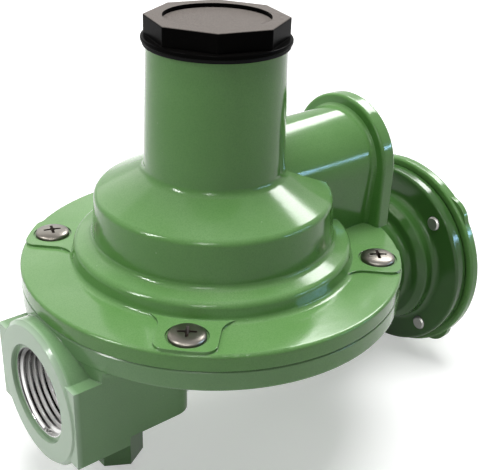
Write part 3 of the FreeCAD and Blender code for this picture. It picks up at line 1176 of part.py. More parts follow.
def make_first_stage():
    """Cover, screws, diaphragm, plate, orifice and poppet, along +X from the first seam."""
    body = new_body("first_stage_cover")
    turned(body, "cover", [
        (0, 0),
        (0, "cover_radius"),
        ("cover_rim", "cover_radius"),
        ("cover_rim", "dome_foot_radius"),
        ("dome_height", "dome_edge_radius"),
        ("dome_height + dome_slope", "housing_radius + housing_draft"),
        ("housing_height", "housing_radius"),
        ("housing_height", 0),
    ], about="H_Axis")
    shape = body.Shape
    rounded(body, "cover_edges", ring_edges(shape, "cover_radius", "cover_rim", "x")
            + ring_edges(shape, "cover_radius", 0, "x"), "rim_round")
    rounded(body, "dome_rounds", ring_edges(body.Shape, "dome_edge_radius", "dome_height", "x")
            + ring_edges(body.Shape, "housing_radius", "housing_height", "x"), "dome_round")
    sketch = sketch_on(body, "lug_circle", "YZ_Plane", "rim_round", 45)
    circle(sketch, "lug_radius - first_screw_ring", "first_screw_ring", 0)
    item = pad(body, "lug", sketch, "cover_rim - 2 * rim_round")
    patterned(body, "lugs", [item], "X_Axis", "screw_count")
    turned(body, "cover_inside", [
        (0, 0),
        (0, "first_chamber_radius"),
        ("cover_inside_rise", "first_chamber_radius"),
        ("dome_height - wall", "dome_edge_radius - wall"),
        ("dome_height + dome_slope - wall", "housing_radius + housing_draft - wall"),
        ("housing_height - wall", "housing_radius - wall"),
        ("housing_height - wall", 0),
    ], about="H_Axis", cut=True)
    sketch = sketch_on(body, "breather_circle", "YZ_Plane", "housing_height")
    circle(sketch, "breather_radius")
    pocket(body, "breather", sketch, "wall")
    sketch = sketch_on(body, "hole_circle", "YZ_Plane", "cover_rim", 45)
    circle(sketch, "first_screw_radius + seat_gap", "first_screw_ring", 0)
    item = pocket(body, "hole", sketch, "cover_rim")
    patterned(body, "hole_ring", [item], "X_Axis", "screw_count")
    placed(body, **ON_FIRST)

    body = new_body("first_stage_screws")
    sketch = sketch_on(body, "head_circle", "YZ_Plane", "cover_rim", 45)
    circle(sketch, "first_screw_head", "first_screw_ring", 0)
    head = pad(body, "head", sketch, "first_screw_head_height")
    sketch = sketch_on(body, "shank_circle", "YZ_Plane", "cover_rim", 45)
    circle(sketch, "first_screw_radius", "first_screw_ring", 0)
    shank = pad(body, "shank", sketch, "cover_rim + first_rim + first_screw_tip", reverse=True)
    patterned(body, "screws", [head, shank], "X_Axis", "screw_count")
    placed(body, **ON_FIRST)

    body = new_body("first_diaphragm")
    turned(body, "sheet", [
        ("-first_diaphragm_thick", 0),
        ("-first_diaphragm_thick", "first_diaphragm_radius"),
        (0, "first_diaphragm_radius"),
        (0, 0),
    ], about="H_Axis")
    sketch = sketch_on(body, "pin_hole_circle", "YZ_Plane")
    circle(sketch, "push_pin_boss + seat_gap")
    pocket(body, "pin_hole", sketch, "first_diaphragm_thick")
    placed(body, **ON_FIRST)

    body = new_body("first_plate")
    turned(body, "plate", [
        ("-first_diaphragm_thick - push_pin_boss_proud", 0),
        ("-first_diaphragm_thick - push_pin_boss_proud", "push_pin_boss"),
        (0, "push_pin_boss"),
        (0, "first_plate_radius"),
        ("first_plate_thick", "first_plate_radius"),
        ("first_plate_thick", 0),
    ], about="H_Axis")
    start = "(first_diaphragm_thick + push_pin_boss_proud)"
    sketch = sketch_on(body, "pin_circle", "YZ_Plane", "-" + start)
    circle(sketch, "push_pin_radius")
    reach = "first_nozzle_end + poppet_opening - slide_gap - " + start
    pad(body, "push_pin", sketch, reach, reverse=True)
    placed(body, **ON_FIRST)

    body = new_body("first_orifice")
    turned(body, "nozzle", [
        ("-first_nozzle_end", "first_nozzle_bore"),
        ("-first_nozzle_end", "first_nozzle_bore + first_lip_thick"),
        ("-first_nozzle_end + first_lip_height", "first_nozzle_bore + first_lip_foot"),
        ("-first_nozzle_end + first_lip_height", "first_nozzle_thread"),
        ("-first_nozzle_start", "first_nozzle_thread"),
        ("-first_nozzle_start", "first_nozzle_bore"),
    ], about="H_Axis")
    placed(body, **ON_FIRST)

    seat_face = "-first_nozzle_end - poppet_opening"
    body = new_body("poppet")
    sketch = sketch_on(body, "hexagon", "YZ_Plane", seat_face)
    regular(sketch, 6, "poppet_cavity_radius - slide_gap")
    pad(body, "hexagon_block", sketch, "poppet_back - first_nozzle_end - poppet_opening", reverse=True)
    sketch = sketch_on(body, "spigot_circle", "YZ_Plane", "-poppet_back")
    circle(sketch, "poppet_coil_radius - poppet_wire - poppet_spigot_gap")
    pad(body, "spring_spigot", sketch, "poppet_spigot", reverse=True)
    sketch = sketch_on(body, "seat_pocket_circle", "YZ_Plane", seat_face)
    circle(sketch, "first_nozzle_bore + poppet_seat_reach + slide_gap")
    pocket(body, "seat_pocket", sketch, "poppet_seat_thick")
    placed(body, **ON_FIRST)
    body = new_body("poppet_seat")
    turned(body, "seat", [
        (seat_face + " - poppet_seat_thick", 0),
        (seat_face + " - poppet_seat_thick", "first_nozzle_bore + poppet_seat_reach"),
        (seat_face, "first_nozzle_bore + poppet_seat_reach"),
        (seat_face, 0),
    ], about="H_Axis")
    placed(body, **ON_FIRST)


def make_small_fittings():
    """Tap plug in the hexagon boss and the filter in the inlet."""
    body = new_body("tap_plug")
    sketch = sketch_on(body, "plug_circle", "XY_Plane")
    circle(sketch, "tap_thread - slide_gap")
    pad(body, "plug", sketch, "tap_plug_length")
    sketch = sketch_on(body, "socket_outline", "XY_Plane")
    regular(sketch, 6, "tap_socket")
    pocket(body, "socket", sketch, "tap_socket_depth", reverse=True)
    placed(body, x=REACH + " - tap_back", z="tap_plug_sink - tap_bottom")
    body = new_body("inlet_filter")
    sketch = sketch_on(body, "filter_circle", "XZ_Plane")
    circle(sketch, "filter_radius")
    pad(body, "filter", sketch, "filter_thick")
    placed(body, x=REACH + " + first_seam - inlet_place", y="inlet_reach - inlet_depth")


def spring_path(radius, low, high, turns, wire):
    """Biarcs along a coil spring about Z, its end turns laid close."""
    close = 2 * wire + number("coil_gap")
    span = high - low
    active = (span - 2 * close) / (turns - 2)

    def height(t):
        if t < 1:
            return low + close * t
        if t > turns - 1:
            return high - close * (turns - t)
        return low + close + active * (t - 1)

    def spot(t):
        angle = 2 * math.pi * t
        return FreeCAD.Vector(radius * math.cos(angle), radius * math.sin(angle), height(t))

    def heading(t):
        step = 1e-4
        a, b = max(t - step, 0), min(t + step, turns)
        return (spot(b) - spot(a)).normalize()

    edges = []
    count = int(round(turns * 4))
    for i in range(count):
        t0, t1 = turns * i / count, turns * (i + 1) / count
        a, b, ta, tb = spot(t0), spot(t1), heading(t0), heading(t1)
        edges += biarc(a, ta, b, tb)
    return Part.Wire(edges)


def biarc(a, ta, b, tb):
    """Two arcs from a to b that leave along ta and arrive along tb."""
    chord = b - a
    s = ta + tb
    qa = 2 * (1 - ta.dot(tb))
    qb = 2 * chord.dot(s)
    qc = -chord.dot(chord)
    d = -qc / qb if abs(qa) < 1e-12 else (-qb + math.sqrt(qb * qb - 4 * qa * qc)) / (2 * qa)
    pa, pb = a + ta * d, b - tb * d
    join = (pa + pb) * 0.5
    return [arc(a, pa, join), arc(join, pb, b)]


def arc(start, control, end):
    """Arc from start to end whose end tangents meet at control."""
    half = (end - start) * 0.5
    centre_to_control = control - (start + half)
    angle = math.atan2(centre_to_control.Length, half.Length)
    rise = half.Length * math.tan(angle / 2)
    return Part.Arc(start, start + half + centre_to_control.normalize() * rise, end).toShape()


def least_gap(path, turns, wire):
    """The least distance between the surfaces of neighbouring turns."""
    per_turn = 72
    points = path.discretize(Number=int(turns * per_turn) + 1)
    near = per_turn // 6
    gaps = [points[i].distanceToPoint(points[j]) - 2 * wire
            for i in range(len(points))
            for j in range(i + per_turn - near, min(i + per_turn + near, len(points)))]
    return min(gaps)


def make_spring(label, radius, wire, low, high, turns, along_x=False):
    """A coil spring as one swept tube, with its own placement."""
    thick = number(wire)
    path = spring_path(number(radius), number(low) + thick, number(high) - thick, number(turns), thick)
    start = path.Edges[0].valueAt(path.Edges[0].FirstParameter)
    heading = path.Edges[0].tangentAt(path.Edges[0].FirstParameter)
    section = Part.Wire([Part.Circle(start, heading, thick).toShape()])
    shape = path.makePipeShell([section], True, False)
    expected = path.Length * math.pi * thick ** 2
    print("%s: volume %.1f, section times length %.1f, least gap between turns %.2f"
          % (label, shape.Volume, expected, least_gap(path, number(turns), thick)))
    item = doc.addObject("Part::Feature", label)
    item.Shape = shape
    if along_x:
        item.Placement = FreeCAD.Placement(FreeCAD.Vector(), FreeCAD.Rotation(FreeCAD.Vector(0, 1, 0), 90))
    return item


def make_springs():
    """The four springs, each seated with a small gap between its two seats."""
    plate_top = "plate_thick - diaphragm_drop"
    item = make_spring("main_spring", "main_coil_radius", "main_wire", plate_top + " + seat_gap",
                       "spring_top - seat_gap", "main_turns")
    placed(item, **ON_STACK)
    item = make_spring("relief_spring", "relief_coil_radius", "relief_wire", plate_top + " + seat_gap",
                       "stem_top - stem_proud - relief_nut_thick - seat_gap", "relief_turns")
    placed(item, **ON_STACK)
    item = make_spring("first_stage_spring", "first_coil_radius", "first_wire", "first_plate_thick + seat_gap",
                       "housing_height - wall - seat_gap", "first_turns", along_x=True)
    placed(item, **ON_FIRST)
    item = make_spring("poppet_spring", "poppet_coil_radius", "poppet_wire", "seat_gap",
                       "poppet_cavity_end - poppet_back - seat_gap", "poppet_turns", along_x=True)
    placed(item, x=REACH + " + first_seam - poppet_cavity_end")


NODES = [
    "bonnet", "lower_body", "closing_cap", "cap_gasket", "spring_washer", "adjusting_screw", "main_spring",
    "main_diaphragm", "diaphragm_plate", "pusher_stem", "relief_spring", "relief_nut", "lever", "lever_pin",
    "valve_rod", "seat_disc", "second_orifice", "second_orifice_seal", "bonnet_screws", "vent_screen",
    "vent_ring", "first_stage_cover", "first_stage_screws", "first_diaphragm", "first_plate", "first_orifice",
    "poppet", "poppet_seat", "poppet_spring", "first_stage_spring", "tap_plug", "inlet_filter",
]

make_bonnet()
make_lower_body()
make_cap()
make_adjuster()
make_diaphragm_stack()
make_lever()
make_valve()
make_bonnet_screws()
make_vent_fittings()
make_first_stage()
make_small_fittings()
make_springs()

doc.recompute()
for item in doc.Objects:
    if {"Invalid", "Error"} & set(item.State):
        raise ValueError("%s failed: %s" % (item.Name, item.State))
os.makedirs("parts", exist_ok=True)
for label in NODES:
    shape = doc.getObjectsByLabel(label)[0].Shape
    if shape.isNull() or not shape.isValid():
        raise ValueError("%s has no valid shape" % label)
    shape.exportStep("parts/%s.step" % label)
    print("%s: %d solid(s), %.1f mm3" % (label, len(shape.Solids), shape.Volume))
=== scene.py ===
"""Dresses a two-stage gas regulator: enamel, screw heads, threads, springs remade as loose pieces, and its
stage.
"""
import json
import math

import bmesh
import bpy
from bpy.props import FloatProperty, FloatVectorProperty, IntProperty, PointerProperty
from mathutils import Matrix, Vector


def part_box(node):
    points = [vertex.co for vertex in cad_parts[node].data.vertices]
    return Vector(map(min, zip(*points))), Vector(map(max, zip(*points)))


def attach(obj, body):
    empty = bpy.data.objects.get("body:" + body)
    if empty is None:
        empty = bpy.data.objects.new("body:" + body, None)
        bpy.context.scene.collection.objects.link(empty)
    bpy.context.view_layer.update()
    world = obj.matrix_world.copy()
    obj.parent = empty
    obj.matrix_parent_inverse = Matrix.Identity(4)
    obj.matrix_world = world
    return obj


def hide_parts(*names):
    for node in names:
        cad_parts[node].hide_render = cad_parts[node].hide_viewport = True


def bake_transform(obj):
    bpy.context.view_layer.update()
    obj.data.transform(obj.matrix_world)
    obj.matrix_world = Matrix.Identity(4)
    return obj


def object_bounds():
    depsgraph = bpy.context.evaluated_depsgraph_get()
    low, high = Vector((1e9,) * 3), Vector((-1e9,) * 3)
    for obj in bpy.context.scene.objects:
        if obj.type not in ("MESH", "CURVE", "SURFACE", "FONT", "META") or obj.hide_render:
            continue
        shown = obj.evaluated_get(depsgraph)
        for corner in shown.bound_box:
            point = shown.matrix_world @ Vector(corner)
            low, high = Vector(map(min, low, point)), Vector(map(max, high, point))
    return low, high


bl_info = {
    "name": "Gas regulator dressing",
    "version": (1, 0, 0),
    "blender": (4, 5, 0),
    "location": "3D View > Sidebar > Regulator",
    "description": "Paints a gas regulator and adds its threads, screw heads, neck skin and moving springs",
    "category": "Object",
}

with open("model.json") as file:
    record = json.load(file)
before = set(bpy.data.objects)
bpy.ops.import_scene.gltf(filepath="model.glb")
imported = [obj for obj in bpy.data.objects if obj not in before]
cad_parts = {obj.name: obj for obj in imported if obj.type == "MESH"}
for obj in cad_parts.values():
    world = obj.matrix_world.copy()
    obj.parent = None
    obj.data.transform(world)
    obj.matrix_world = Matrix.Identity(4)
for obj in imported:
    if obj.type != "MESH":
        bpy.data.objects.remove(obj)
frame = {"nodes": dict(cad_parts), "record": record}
CAD_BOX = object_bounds()

MM = 0.001
TAU = 2 * math.pi


def middle(node):
    """The centre of a CAD node's box."""
    low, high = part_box(node)
    return (Vector(low) + Vector(high)) / 2


TOWER = middle("closing_cap")
FLOOR_Z = CAD_BOX[0][2]
FACE_X = CAD_BOX[0][0]
TOP_Z = CAD_BOX[1][2]
SHARP = 35


# Sizes and colours that a user may change

class PaintLook(bpy.types.PropertyGroup):
    """Enamel of the castings."""
    colour: FloatVectorProperty(name="Enamel", description="Colour of the enamel", subtype="COLOR", size=4,
                                min=0, max=1, default=(0.099, 0.255, 0.058, 1))
    shade: FloatVectorProperty(name="Thin enamel", description="Colour where the enamel lies thin",
                               subtype="COLOR", size=4, min=0, max=1, default=(0.124, 0.290, 0.080, 1))
    gloss: FloatProperty(name="Roughness", description="Roughness of the enamel", min=0, max=1, default=0.13)
    edge: FloatProperty(name="Edge rounding", description="Radius of the soft casting edges", unit="LENGTH",
                        default=0.35 * MM, precision=5)
    peel: FloatProperty(name="Orange peel", description="Depth of the enamel's fine waves", unit="LENGTH",
                        default=0.010 * MM, precision=6)


class ThreadSizes(bpy.types.PropertyGroup):
    """Pipe threads of the outlet and the inlet."""
    outlet_pitch: FloatProperty(name="Outlet pitch", description="Distance from crest to crest",
                                unit="LENGTH", default=1.814 * MM, precision=5)
    inlet_pitch: FloatProperty(name="Inlet pitch", description="Distance from crest to crest",
                               unit="LENGTH", default=1.411 * MM, precision=5)
    depth: FloatProperty(name="Crest height", description="Height of a crest above the bore",
                         unit="LENGTH", default=0.85 * MM, precision=5)
    steps: IntProperty(name="Steps", description="Straight pieces in a turn", default=56)


class ScrewSizes(bpy.types.PropertyGroup):
    """Heads of the bonnet's screws; the cover's take the same recess, a little smaller."""
    recess: FloatProperty(name="Recess reach", description="Centre to the end of a recess arm",
                          unit="LENGTH", default=2.65 * MM, precision=5)
    recess_width: FloatProperty(name="Recess width", description="Width of a recess arm",
                                unit="LENGTH", default=0.85 * MM, precision=5)
    recess_depth: FloatProperty(name="Recess depth", description="Depth at the centre",
                                unit="LENGTH", default=1.7 * MM, precision=5)
    head_height: FloatProperty(name="Head height", description="Height of a head above its seat",
                               unit="LENGTH", default=2.3 * MM, precision=5)


class NeckSizes(bpy.types.PropertyGroup):
    """Skin over the vent's neck."""
    axis: FloatProperty(name="Axis", description="Height of the vent's axis",
                        unit="LENGTH", default=45.6 * MM, precision=5)
    radius: FloatProperty(name="Radius", description="Outside of the neck's round top",
                          unit="LENGTH", default=16.35 * MM, precision=5)
    inner: FloatProperty(name="Inside", description="Inside of the skin, hidden in the neck's wall",
                         unit="LENGTH", default=13.4 * MM, precision=5)
    foot_width: FloatProperty(name="Foot", description="Half width at the foot, where the skin runs out",
                              unit="LENGTH", default=14.9 * MM, precision=5)
    depth: FloatProperty(name="Depth", description="From the axis down to the foot, hidden in the rim",
                         unit="LENGTH", default=19.1 * MM, precision=5)
    plate: FloatProperty(name="Plate", description="From the tower's axis to the plate's near face",
                         unit="LENGTH", default=51.0 * MM, precision=5)


class SpringSizes(bpy.types.PropertyGroup):
    """Heights at which the main spring is split."""
    upper_cut: FloatProperty(name="Upper split", unit="LENGTH", default=42.0 * MM, precision=5,
                             description="The main spring follows the washer above this height")
    lower_cut: FloatProperty(name="Lower split", unit="LENGTH", default=31.0 * MM, precision=5,
                             description="It follows the diaphragm's plate below this height")


class StageLook(bpy.types.PropertyGroup):
    """Floor, light and camera."""
    top: FloatProperty(name="Top light", description="Power of the large light overhead", default=10.0)
    left: FloatProperty(name="Left light", description="Power of the light on the left", default=2.8)
    front: FloatProperty(name="Front light", description="Power of the light by the camera", default=0.25)
    back: FloatProperty(name="Back light", description="Power of the large light behind", default=1.6)
    gleam: FloatProperty(name="Gleam", description="Brightness of what only gloss reflects", default=1.0)
    sky: FloatProperty(name="Surroundings", description="Strength of the light from all round", default=0.04)
    lens: FloatProperty(name="Lens", description="Focal length on a 36 mm sensor", default=65.56)


# Mesh helpers

def piece(name, bm, materials, smooth=True, sharp=None):
    """An object with its place in its mesh, from a bmesh that is then freed."""
    mesh = bpy.data.meshes.new(name)
    bm.normal_update()
    bm.to_mesh(mesh)
    bm.free()
    for material in materials:
        mesh.materials.append(material)
    mesh.polygons.foreach_set("use_smooth", [smooth] * len(mesh.polygons))
    obj = bpy.data.objects.new(name, mesh)
    bpy.context.scene.collection.objects.link(obj)
    if sharp is not None:
        mesh.set_sharp_from_angle(angle=math.radians(sharp))
    mesh.update()
    return obj


def lathe(profile, steps):
    """A closed body turned about Z from (radius, height) pairs in metres, from the axis and back to it."""
    bm = bmesh.new()
    verts = [bm.verts.new((r, 0, z)) for r, z in profile]
    edges = [bm.edges.new(pair) for pair in zip(verts, verts[1:])]
    bmesh.ops.spin(bm, geom=verts + edges, cent=(0, 0, 0), axis=(0, 0, 1), dvec=(0, 0, 0), angle=TAU,
                   steps=steps, use_merge=True, use_duplicate=False)
    bmesh.ops.remove_doubles(bm, verts=bm.verts, dist=1e-7)
    bmesh.ops.recalc_face_normals(bm, faces=bm.faces)
    return bm


RIDGE_BASE = 0.82  # width of a ridge's foot, as a share of the pitch
RIDGE_TIP = 0.07  # half width of its crest, as a share of the pitch
RIDGE_SINK = 0.35  # depth of its foot in the wall, as a share of its height


def helix_ridge(radius, crest, pitch, start, length, steps):
    """A closed ridge wound inside a bore about Z, its back sunk in the wall."""
    bm = bmesh.new()
    half = pitch * RIDGE_BASE / 2
    back = radius + crest * RIDGE_SINK
    tip = pitch * RIDGE_TIP
    section = [(back, -half), (radius - crest, -tip), (radius - crest, tip), (back, half)]
    verts = [bm.verts.new((r, 0, start + z)) for r, z in section]
    edges = [bm.edges.new((verts[i], verts[(i + 1) % len(verts)])) for i in range(len(verts))]
    bm.faces.new(verts)
    turns = (length - 2 * half) / pitch
    total = int(turns * steps)
    done = bmesh.ops.spin(bm, geom=verts + edges, cent=(0, 0, 0), axis=(0, 0, 1), dvec=(0, 0, pitch / steps),
                          angle=TAU * total / steps, steps=total, use_merge=False, use_duplicate=False)
    last = [g for g in done["geom_last"] if isinstance(g, bmesh.types.BMVert)]
    bmesh.ops.contextual_create(bm, geom=last)
    bmesh.ops.recalc_face_normals(bm, faces=bm.faces)
    return bm


def moved(bm, matrix):
    """The whole bmesh moved by a matrix."""
    bmesh.ops.transform(bm, matrix=matrix, verts=bm.verts)
    return bm


def carved(obj, cutters):
    """obj with each cutter taken out of it in turn; the cutters are removed."""
    for cutter in cutters:
        change = obj.modifiers.new("carve", "BOOLEAN")
        change.operation = "DIFFERENCE"
        change.solver = "EXACT"
        change.object = cutter
        graph = bpy.context.evaluated_depsgraph_get()
        mesh = bpy.data.meshes.new_from_object(obj.evaluated_get(graph))
        obj.modifiers.clear()
        old = obj.data
        if len(mesh.polygons) in (0, len(old.polygons)):
            raise RuntimeError("%s: the cut by %s changed nothing" % (obj.name, cutter.name))
        obj.data = mesh
        bpy.data.meshes.remove(old)
        bpy.data.objects.remove(cutter)
    return obj


def copied(node):
    """A CAD node's mesh in its place, as a bmesh of its own."""
    source = frame["nodes"][node]
    bm = bmesh.new()
    bm.from_mesh(source.data)
    moved(bm, source.matrix_world)
    bmesh.ops.remove_doubles(bm, verts=bm.verts, dist=0.001 * MM)
    return bm


def kept_beyond(bm, point, way):
    """Cuts a bmesh by a plane, keeps what lies along way, and closes the cut."""
    cut = bmesh.ops.bisect_plane(bm, geom=bm.verts[:] + bm.edges[:] + bm.faces[:], dist=1e-8, plane_co=point,
                                 plane_no=way, clear_inner=True)["geom_cut"]
    bmesh.ops.holes_fill(bm, edges=[g for g in cut if isinstance(g, bmesh.types.BMEdge)])


def join(name, objs):
    """One object made of several at the origin."""
    bm = bmesh.new()
    for obj in objs:
        bm.from_mesh(obj.data)
    made = piece(name, bm, list(objs[0].data.materials), sharp=SHARP)
    for obj in objs:
        bpy.data.objects.remove(obj)
    return made


# Materials

def add(tree, kind, place=(0, 0), **values):
    """A node with its settings and input values."""
    node = tree.nodes.new(kind)
    node.location = (place[0] * 200, place[1] * 200)
    for key, value in values.items():
        if key in node.inputs:
            node.inputs[key].default_value = value
        else:
            setattr(node, key, value)
    return node


def group(name, sockets_in, sockets_out):
    """An empty node group with its sockets, its input node and its output node."""
    tree = bpy.data.node_groups.new(name, "ShaderNodeTree")
    for label, kind, value in sockets_in:
        socket = tree.interface.new_socket(label, in_out="INPUT", socket_type=kind)
        if value is not None:
            socket.default_value = value
    for label, kind in sockets_out:
        tree.interface.new_socket(label, in_out="OUTPUT", socket_type=kind)
    return tree, tree.nodes.new("NodeGroupInput"), tree.nodes.new("NodeGroupOutput")


def feed(tree, value, socket):
    """Links a socket to an input, or sets a number or a colour on it."""
    if hasattr(value, "links"):
        tree.links.new(value, socket)
    else:
        socket.default_value = value


def mix_colour(tree, factor, a, b, place=(0, 0)):
    """A colour mix of two sockets or colours, by a socket or a number."""
    node = add(tree, "ShaderNodeMix", place, data_type="RGBA")
    for index, value in ((0, factor), (6, a), (7, b)):
        feed(tree, value, node.inputs[index])
    return node.outputs[2]


def product(tree, a, b, place=(0, 0)):
    """Two sockets, or a socket and a number, multiplied."""
    node = add(tree, "ShaderNodeMath", place, operation="MULTIPLY")
    feed(tree, a, node.inputs[0])
    feed(tree, b, node.inputs[1])
    return node.outputs[0]


def ranged(tree, value, low, high, place=(0, 0), start=0.0, end=1.0, smooth=False):
    """A socket's values from start to end mapped to low to high."""
    node = add(tree, "ShaderNodeMapRange", place)
    if smooth:
        node.interpolation_type = "SMOOTHSTEP"
    tree.links.new(value, node.inputs["Value"])
    node.inputs["From Min"].default_value = start
    node.inputs["From Max"].default_value = end
    node.inputs["To Min"].default_value = low
    node.inputs["To Max"].default_value = high
    return node.outputs["Result"]


def object_axes(tree, place):
    """The X, Y and Z of a point on the part, as sockets by those names."""
    where = add(tree, "ShaderNodeTexCoord", place)
    parts = add(tree, "ShaderNodeSeparateXYZ", (place[0] + 1, place[1]))
    tree.links.new(where.outputs["Object"], parts.inputs["Vector"])
    return parts.outputs


def surface_group():
    """Normal and masks of a surface: edges, mottle, grain, specks, upward faces and crevices for painted
    shade.
    """
    tree, inp, out = group("Coated surface", [
        ("Edge radius", "NodeSocketFloat", 0.6 * MM),
        ("Wave size", "NodeSocketFloat", 900.0),
        ("Wave depth", "NodeSocketFloat", 0.01 * MM),
        ("Grain size", "NodeSocketFloat", 5200.0),
        ("Grain depth", "NodeSocketFloat", 0.003 * MM),
    ], [("Normal", "NodeSocketVector"), ("Edge", "NodeSocketFloat"), ("Mottle", "NodeSocketFloat"),
        ("Grain", "NodeSocketFloat"), ("Specks", "NodeSocketFloat"), ("Upward", "NodeSocketFloat"),
        ("Crevice", "NodeSocketFloat")])
    link = tree.links.new
    where = add(tree, "ShaderNodeTexCoord", (-5, 0))
    # where the softened normal leaves the true one, there is an edge
    bevel = add(tree, "ShaderNodeBevel", (-4, 3), samples=6)
    link(inp.outputs["Edge radius"], bevel.inputs["Radius"])
    shape = add(tree, "ShaderNodeNewGeometry", (-4, 2))
    dot = add(tree, "ShaderNodeVectorMath", (-3, 2), operation="DOT_PRODUCT")
    link(bevel.outputs["Normal"], dot.inputs[0])
    link(shape.outputs["Normal"], dot.inputs[1])
    link(ranged(tree, dot.outputs["Value"], 0, 1, (-2, 2), 0.995, 0.90, smooth=True), out.inputs["Edge"])
    # waves and grain
    wave = add(tree, "ShaderNodeTexNoise", (-4, 0), Detail=1.0, Roughness=0.4)
    link(where.outputs["Object"], wave.inputs["Vector"])
    link(inp.outputs["Wave size"], wave.inputs["Scale"])
    grain = add(tree, "ShaderNodeTexNoise", (-4, -1), Detail=2.0, Roughness=0.6)
    link(where.outputs["Object"], grain.inputs["Vector"])
    link(inp.outputs["Grain size"], grain.inputs["Scale"])
    link(grain.outputs["Fac"], out.inputs["Grain"])
    mottle = add(tree, "ShaderNodeTexNoise", (-4, -2), Scale=45.0, Detail=3.0, Roughness=0.5)
    link(where.outputs["Object"], mottle.inputs["Vector"])
    link(mottle.outputs["Fac"], out.inputs["Mottle"])
    waves = add(tree, "ShaderNodeBump", (-1, 0), Strength=1.0)
    link(wave.outputs["Fac"], waves.inputs["Height"])
    link(inp.outputs["Wave depth"], waves.inputs["Distance"])
    link(bevel.outputs["Normal"], waves.inputs["Normal"])
    fine = add(tree, "ShaderNodeBump", (0, 0), Strength=1.0)
    link(grain.outputs["Fac"], fine.inputs["Height"])
    link(inp.outputs["Grain depth"], fine.inputs["Distance"])
    link(waves.outputs["Normal"], fine.inputs["Normal"])
    link(fine.outputs["Normal"], out.inputs["Normal"])
    # a speck in the middle of a few cells
    specks = add(tree, "ShaderNodeTexVoronoi", (-4, -3), Scale=520.0, Randomness=1.0)
    link(where.outputs["Object"], specks.inputs["Vector"])
    small = ranged(tree, specks.outputs["Distance"], 0, 1, (-2, -3), 0.13, 0.05, smooth=True)
    tone = add(tree, "ShaderNodeSeparateColor", (-3, -4))
    link(specks.outputs["Color"], tone.inputs["Color"])
    rare = add(tree, "ShaderNodeMath", (-2, -4), operation="GREATER_THAN")
    rare.inputs[1].default_value = 0.965
    link(tone.outputs["Red"], rare.inputs[0])
    link(product(tree, small, rare.outputs["Value"], (-1, -3)), out.inputs["Specks"])
    # faces that look up, and crevices, whose occlusion gives the painted shade
    turned = add(tree, "ShaderNodeSeparateXYZ", (-3, 5))
    link(where.outputs["Normal"], turned.inputs["Vector"])
    link(ranged(tree, turned.outputs["Z"], 0, 1, (-2, 5), 0.35, 1.0, smooth=True), out.inputs["Upward"])
    crevice_occlusion = add(tree, "ShaderNodeAmbientOcclusion", (-3, 6), samples=5)
    crevice_occlusion.inputs["Distance"].default_value = 2.0 * MM
    link(ranged(tree, crevice_occlusion.outputs["AO"], 0, 1, (-2, 6), 0.50, 0.18, smooth=True), out.inputs["Crevice"])
    return tree


def fresh(name):
    """A material with only its Principled shader and output."""
    material = bpy.data.materials.new(name)
    material.use_nodes = True
    tree = material.node_tree
    shader = next(n for n in tree.nodes if n.type == "BSDF_PRINCIPLED")
    return material, tree, shader


def coated(name, surface, colour, thin, rough, edge_radius, wave, metal=0.0, grain=0.003 * MM, edge_gain=0.5,
           rough_spread=0.08, specular=0.5, top_sheen=None):
    """A coated, moulded or plain metal finish. top_sheen is the amount and colour of a painted sheen on what
    faces up, and the height above which it lies."""
    material, tree, shader = fresh(name)
    look = add(tree, "ShaderNodeGroup", (-4, 0), node_tree=surface)
    look.inputs["Edge radius"].default_value = edge_radius
    look.inputs["Wave depth"].default_value = wave
    look.inputs["Grain depth"].default_value = grain
    mottled = ranged(tree, look.outputs["Mottle"], 0.0, 0.55, start=0.3, end=0.75)
    tone = mix_colour(tree, mottled, colour, thin)
    tone = mix_colour(tree, product(tree, look.outputs["Edge"], edge_gain), tone, thin)
    # painted sheen on the top faces, patchy with the grain
    if top_sheen:
        amount, sheen_colour, bottom = top_sheen
        height = object_axes(tree, (-8, 4))["Z"]
        level = product(tree, ranged(tree, height, 0.0, 1.0, start=bottom, end=bottom + 0.3 * MM),
                        look.outputs["Upward"], (-5, 4))
        patchy = ranged(tree, look.outputs["Grain"], amount * 0.55, amount, start=0.38, end=0.58)
        tone = mix_colour(tree, product(tree, level, patchy, (-4, 4)), tone, sheen_colour)
    tree.links.new(tone, shader.inputs["Base Color"])
    tree.links.new(ranged(tree, look.outputs["Mottle"], rough - rough_spread, rough + rough_spread),
                   shader.inputs["Roughness"])
    tree.links.new(look.outputs["Normal"], shader.inputs["Normal"])
    shader.inputs["Metallic"].default_value = metal
    shader.inputs["Specular IOR Level"].default_value = specular
    return material


# painted sheen on the cap's top
CAP_TOP_SHEEN = (0.200, 0.178, 0.162, 1)
# painted highlight along the rounded edges
EDGE_HIGHLIGHT = (0.21, 0.36, 0.18, 1)
# painted sheen on what faces up
TOP_SHEEN = (0.42, 0.47, 0.38, 1)
PALE_SPECK = (0.40, 0.52, 0.36, 1)
DARK_GRAIN = (0.075, 0.200, 0.048, 1)
# painted shade in crevices and seams
CREVICE_SHADE = (0.012, 0.030, 0.009, 1)


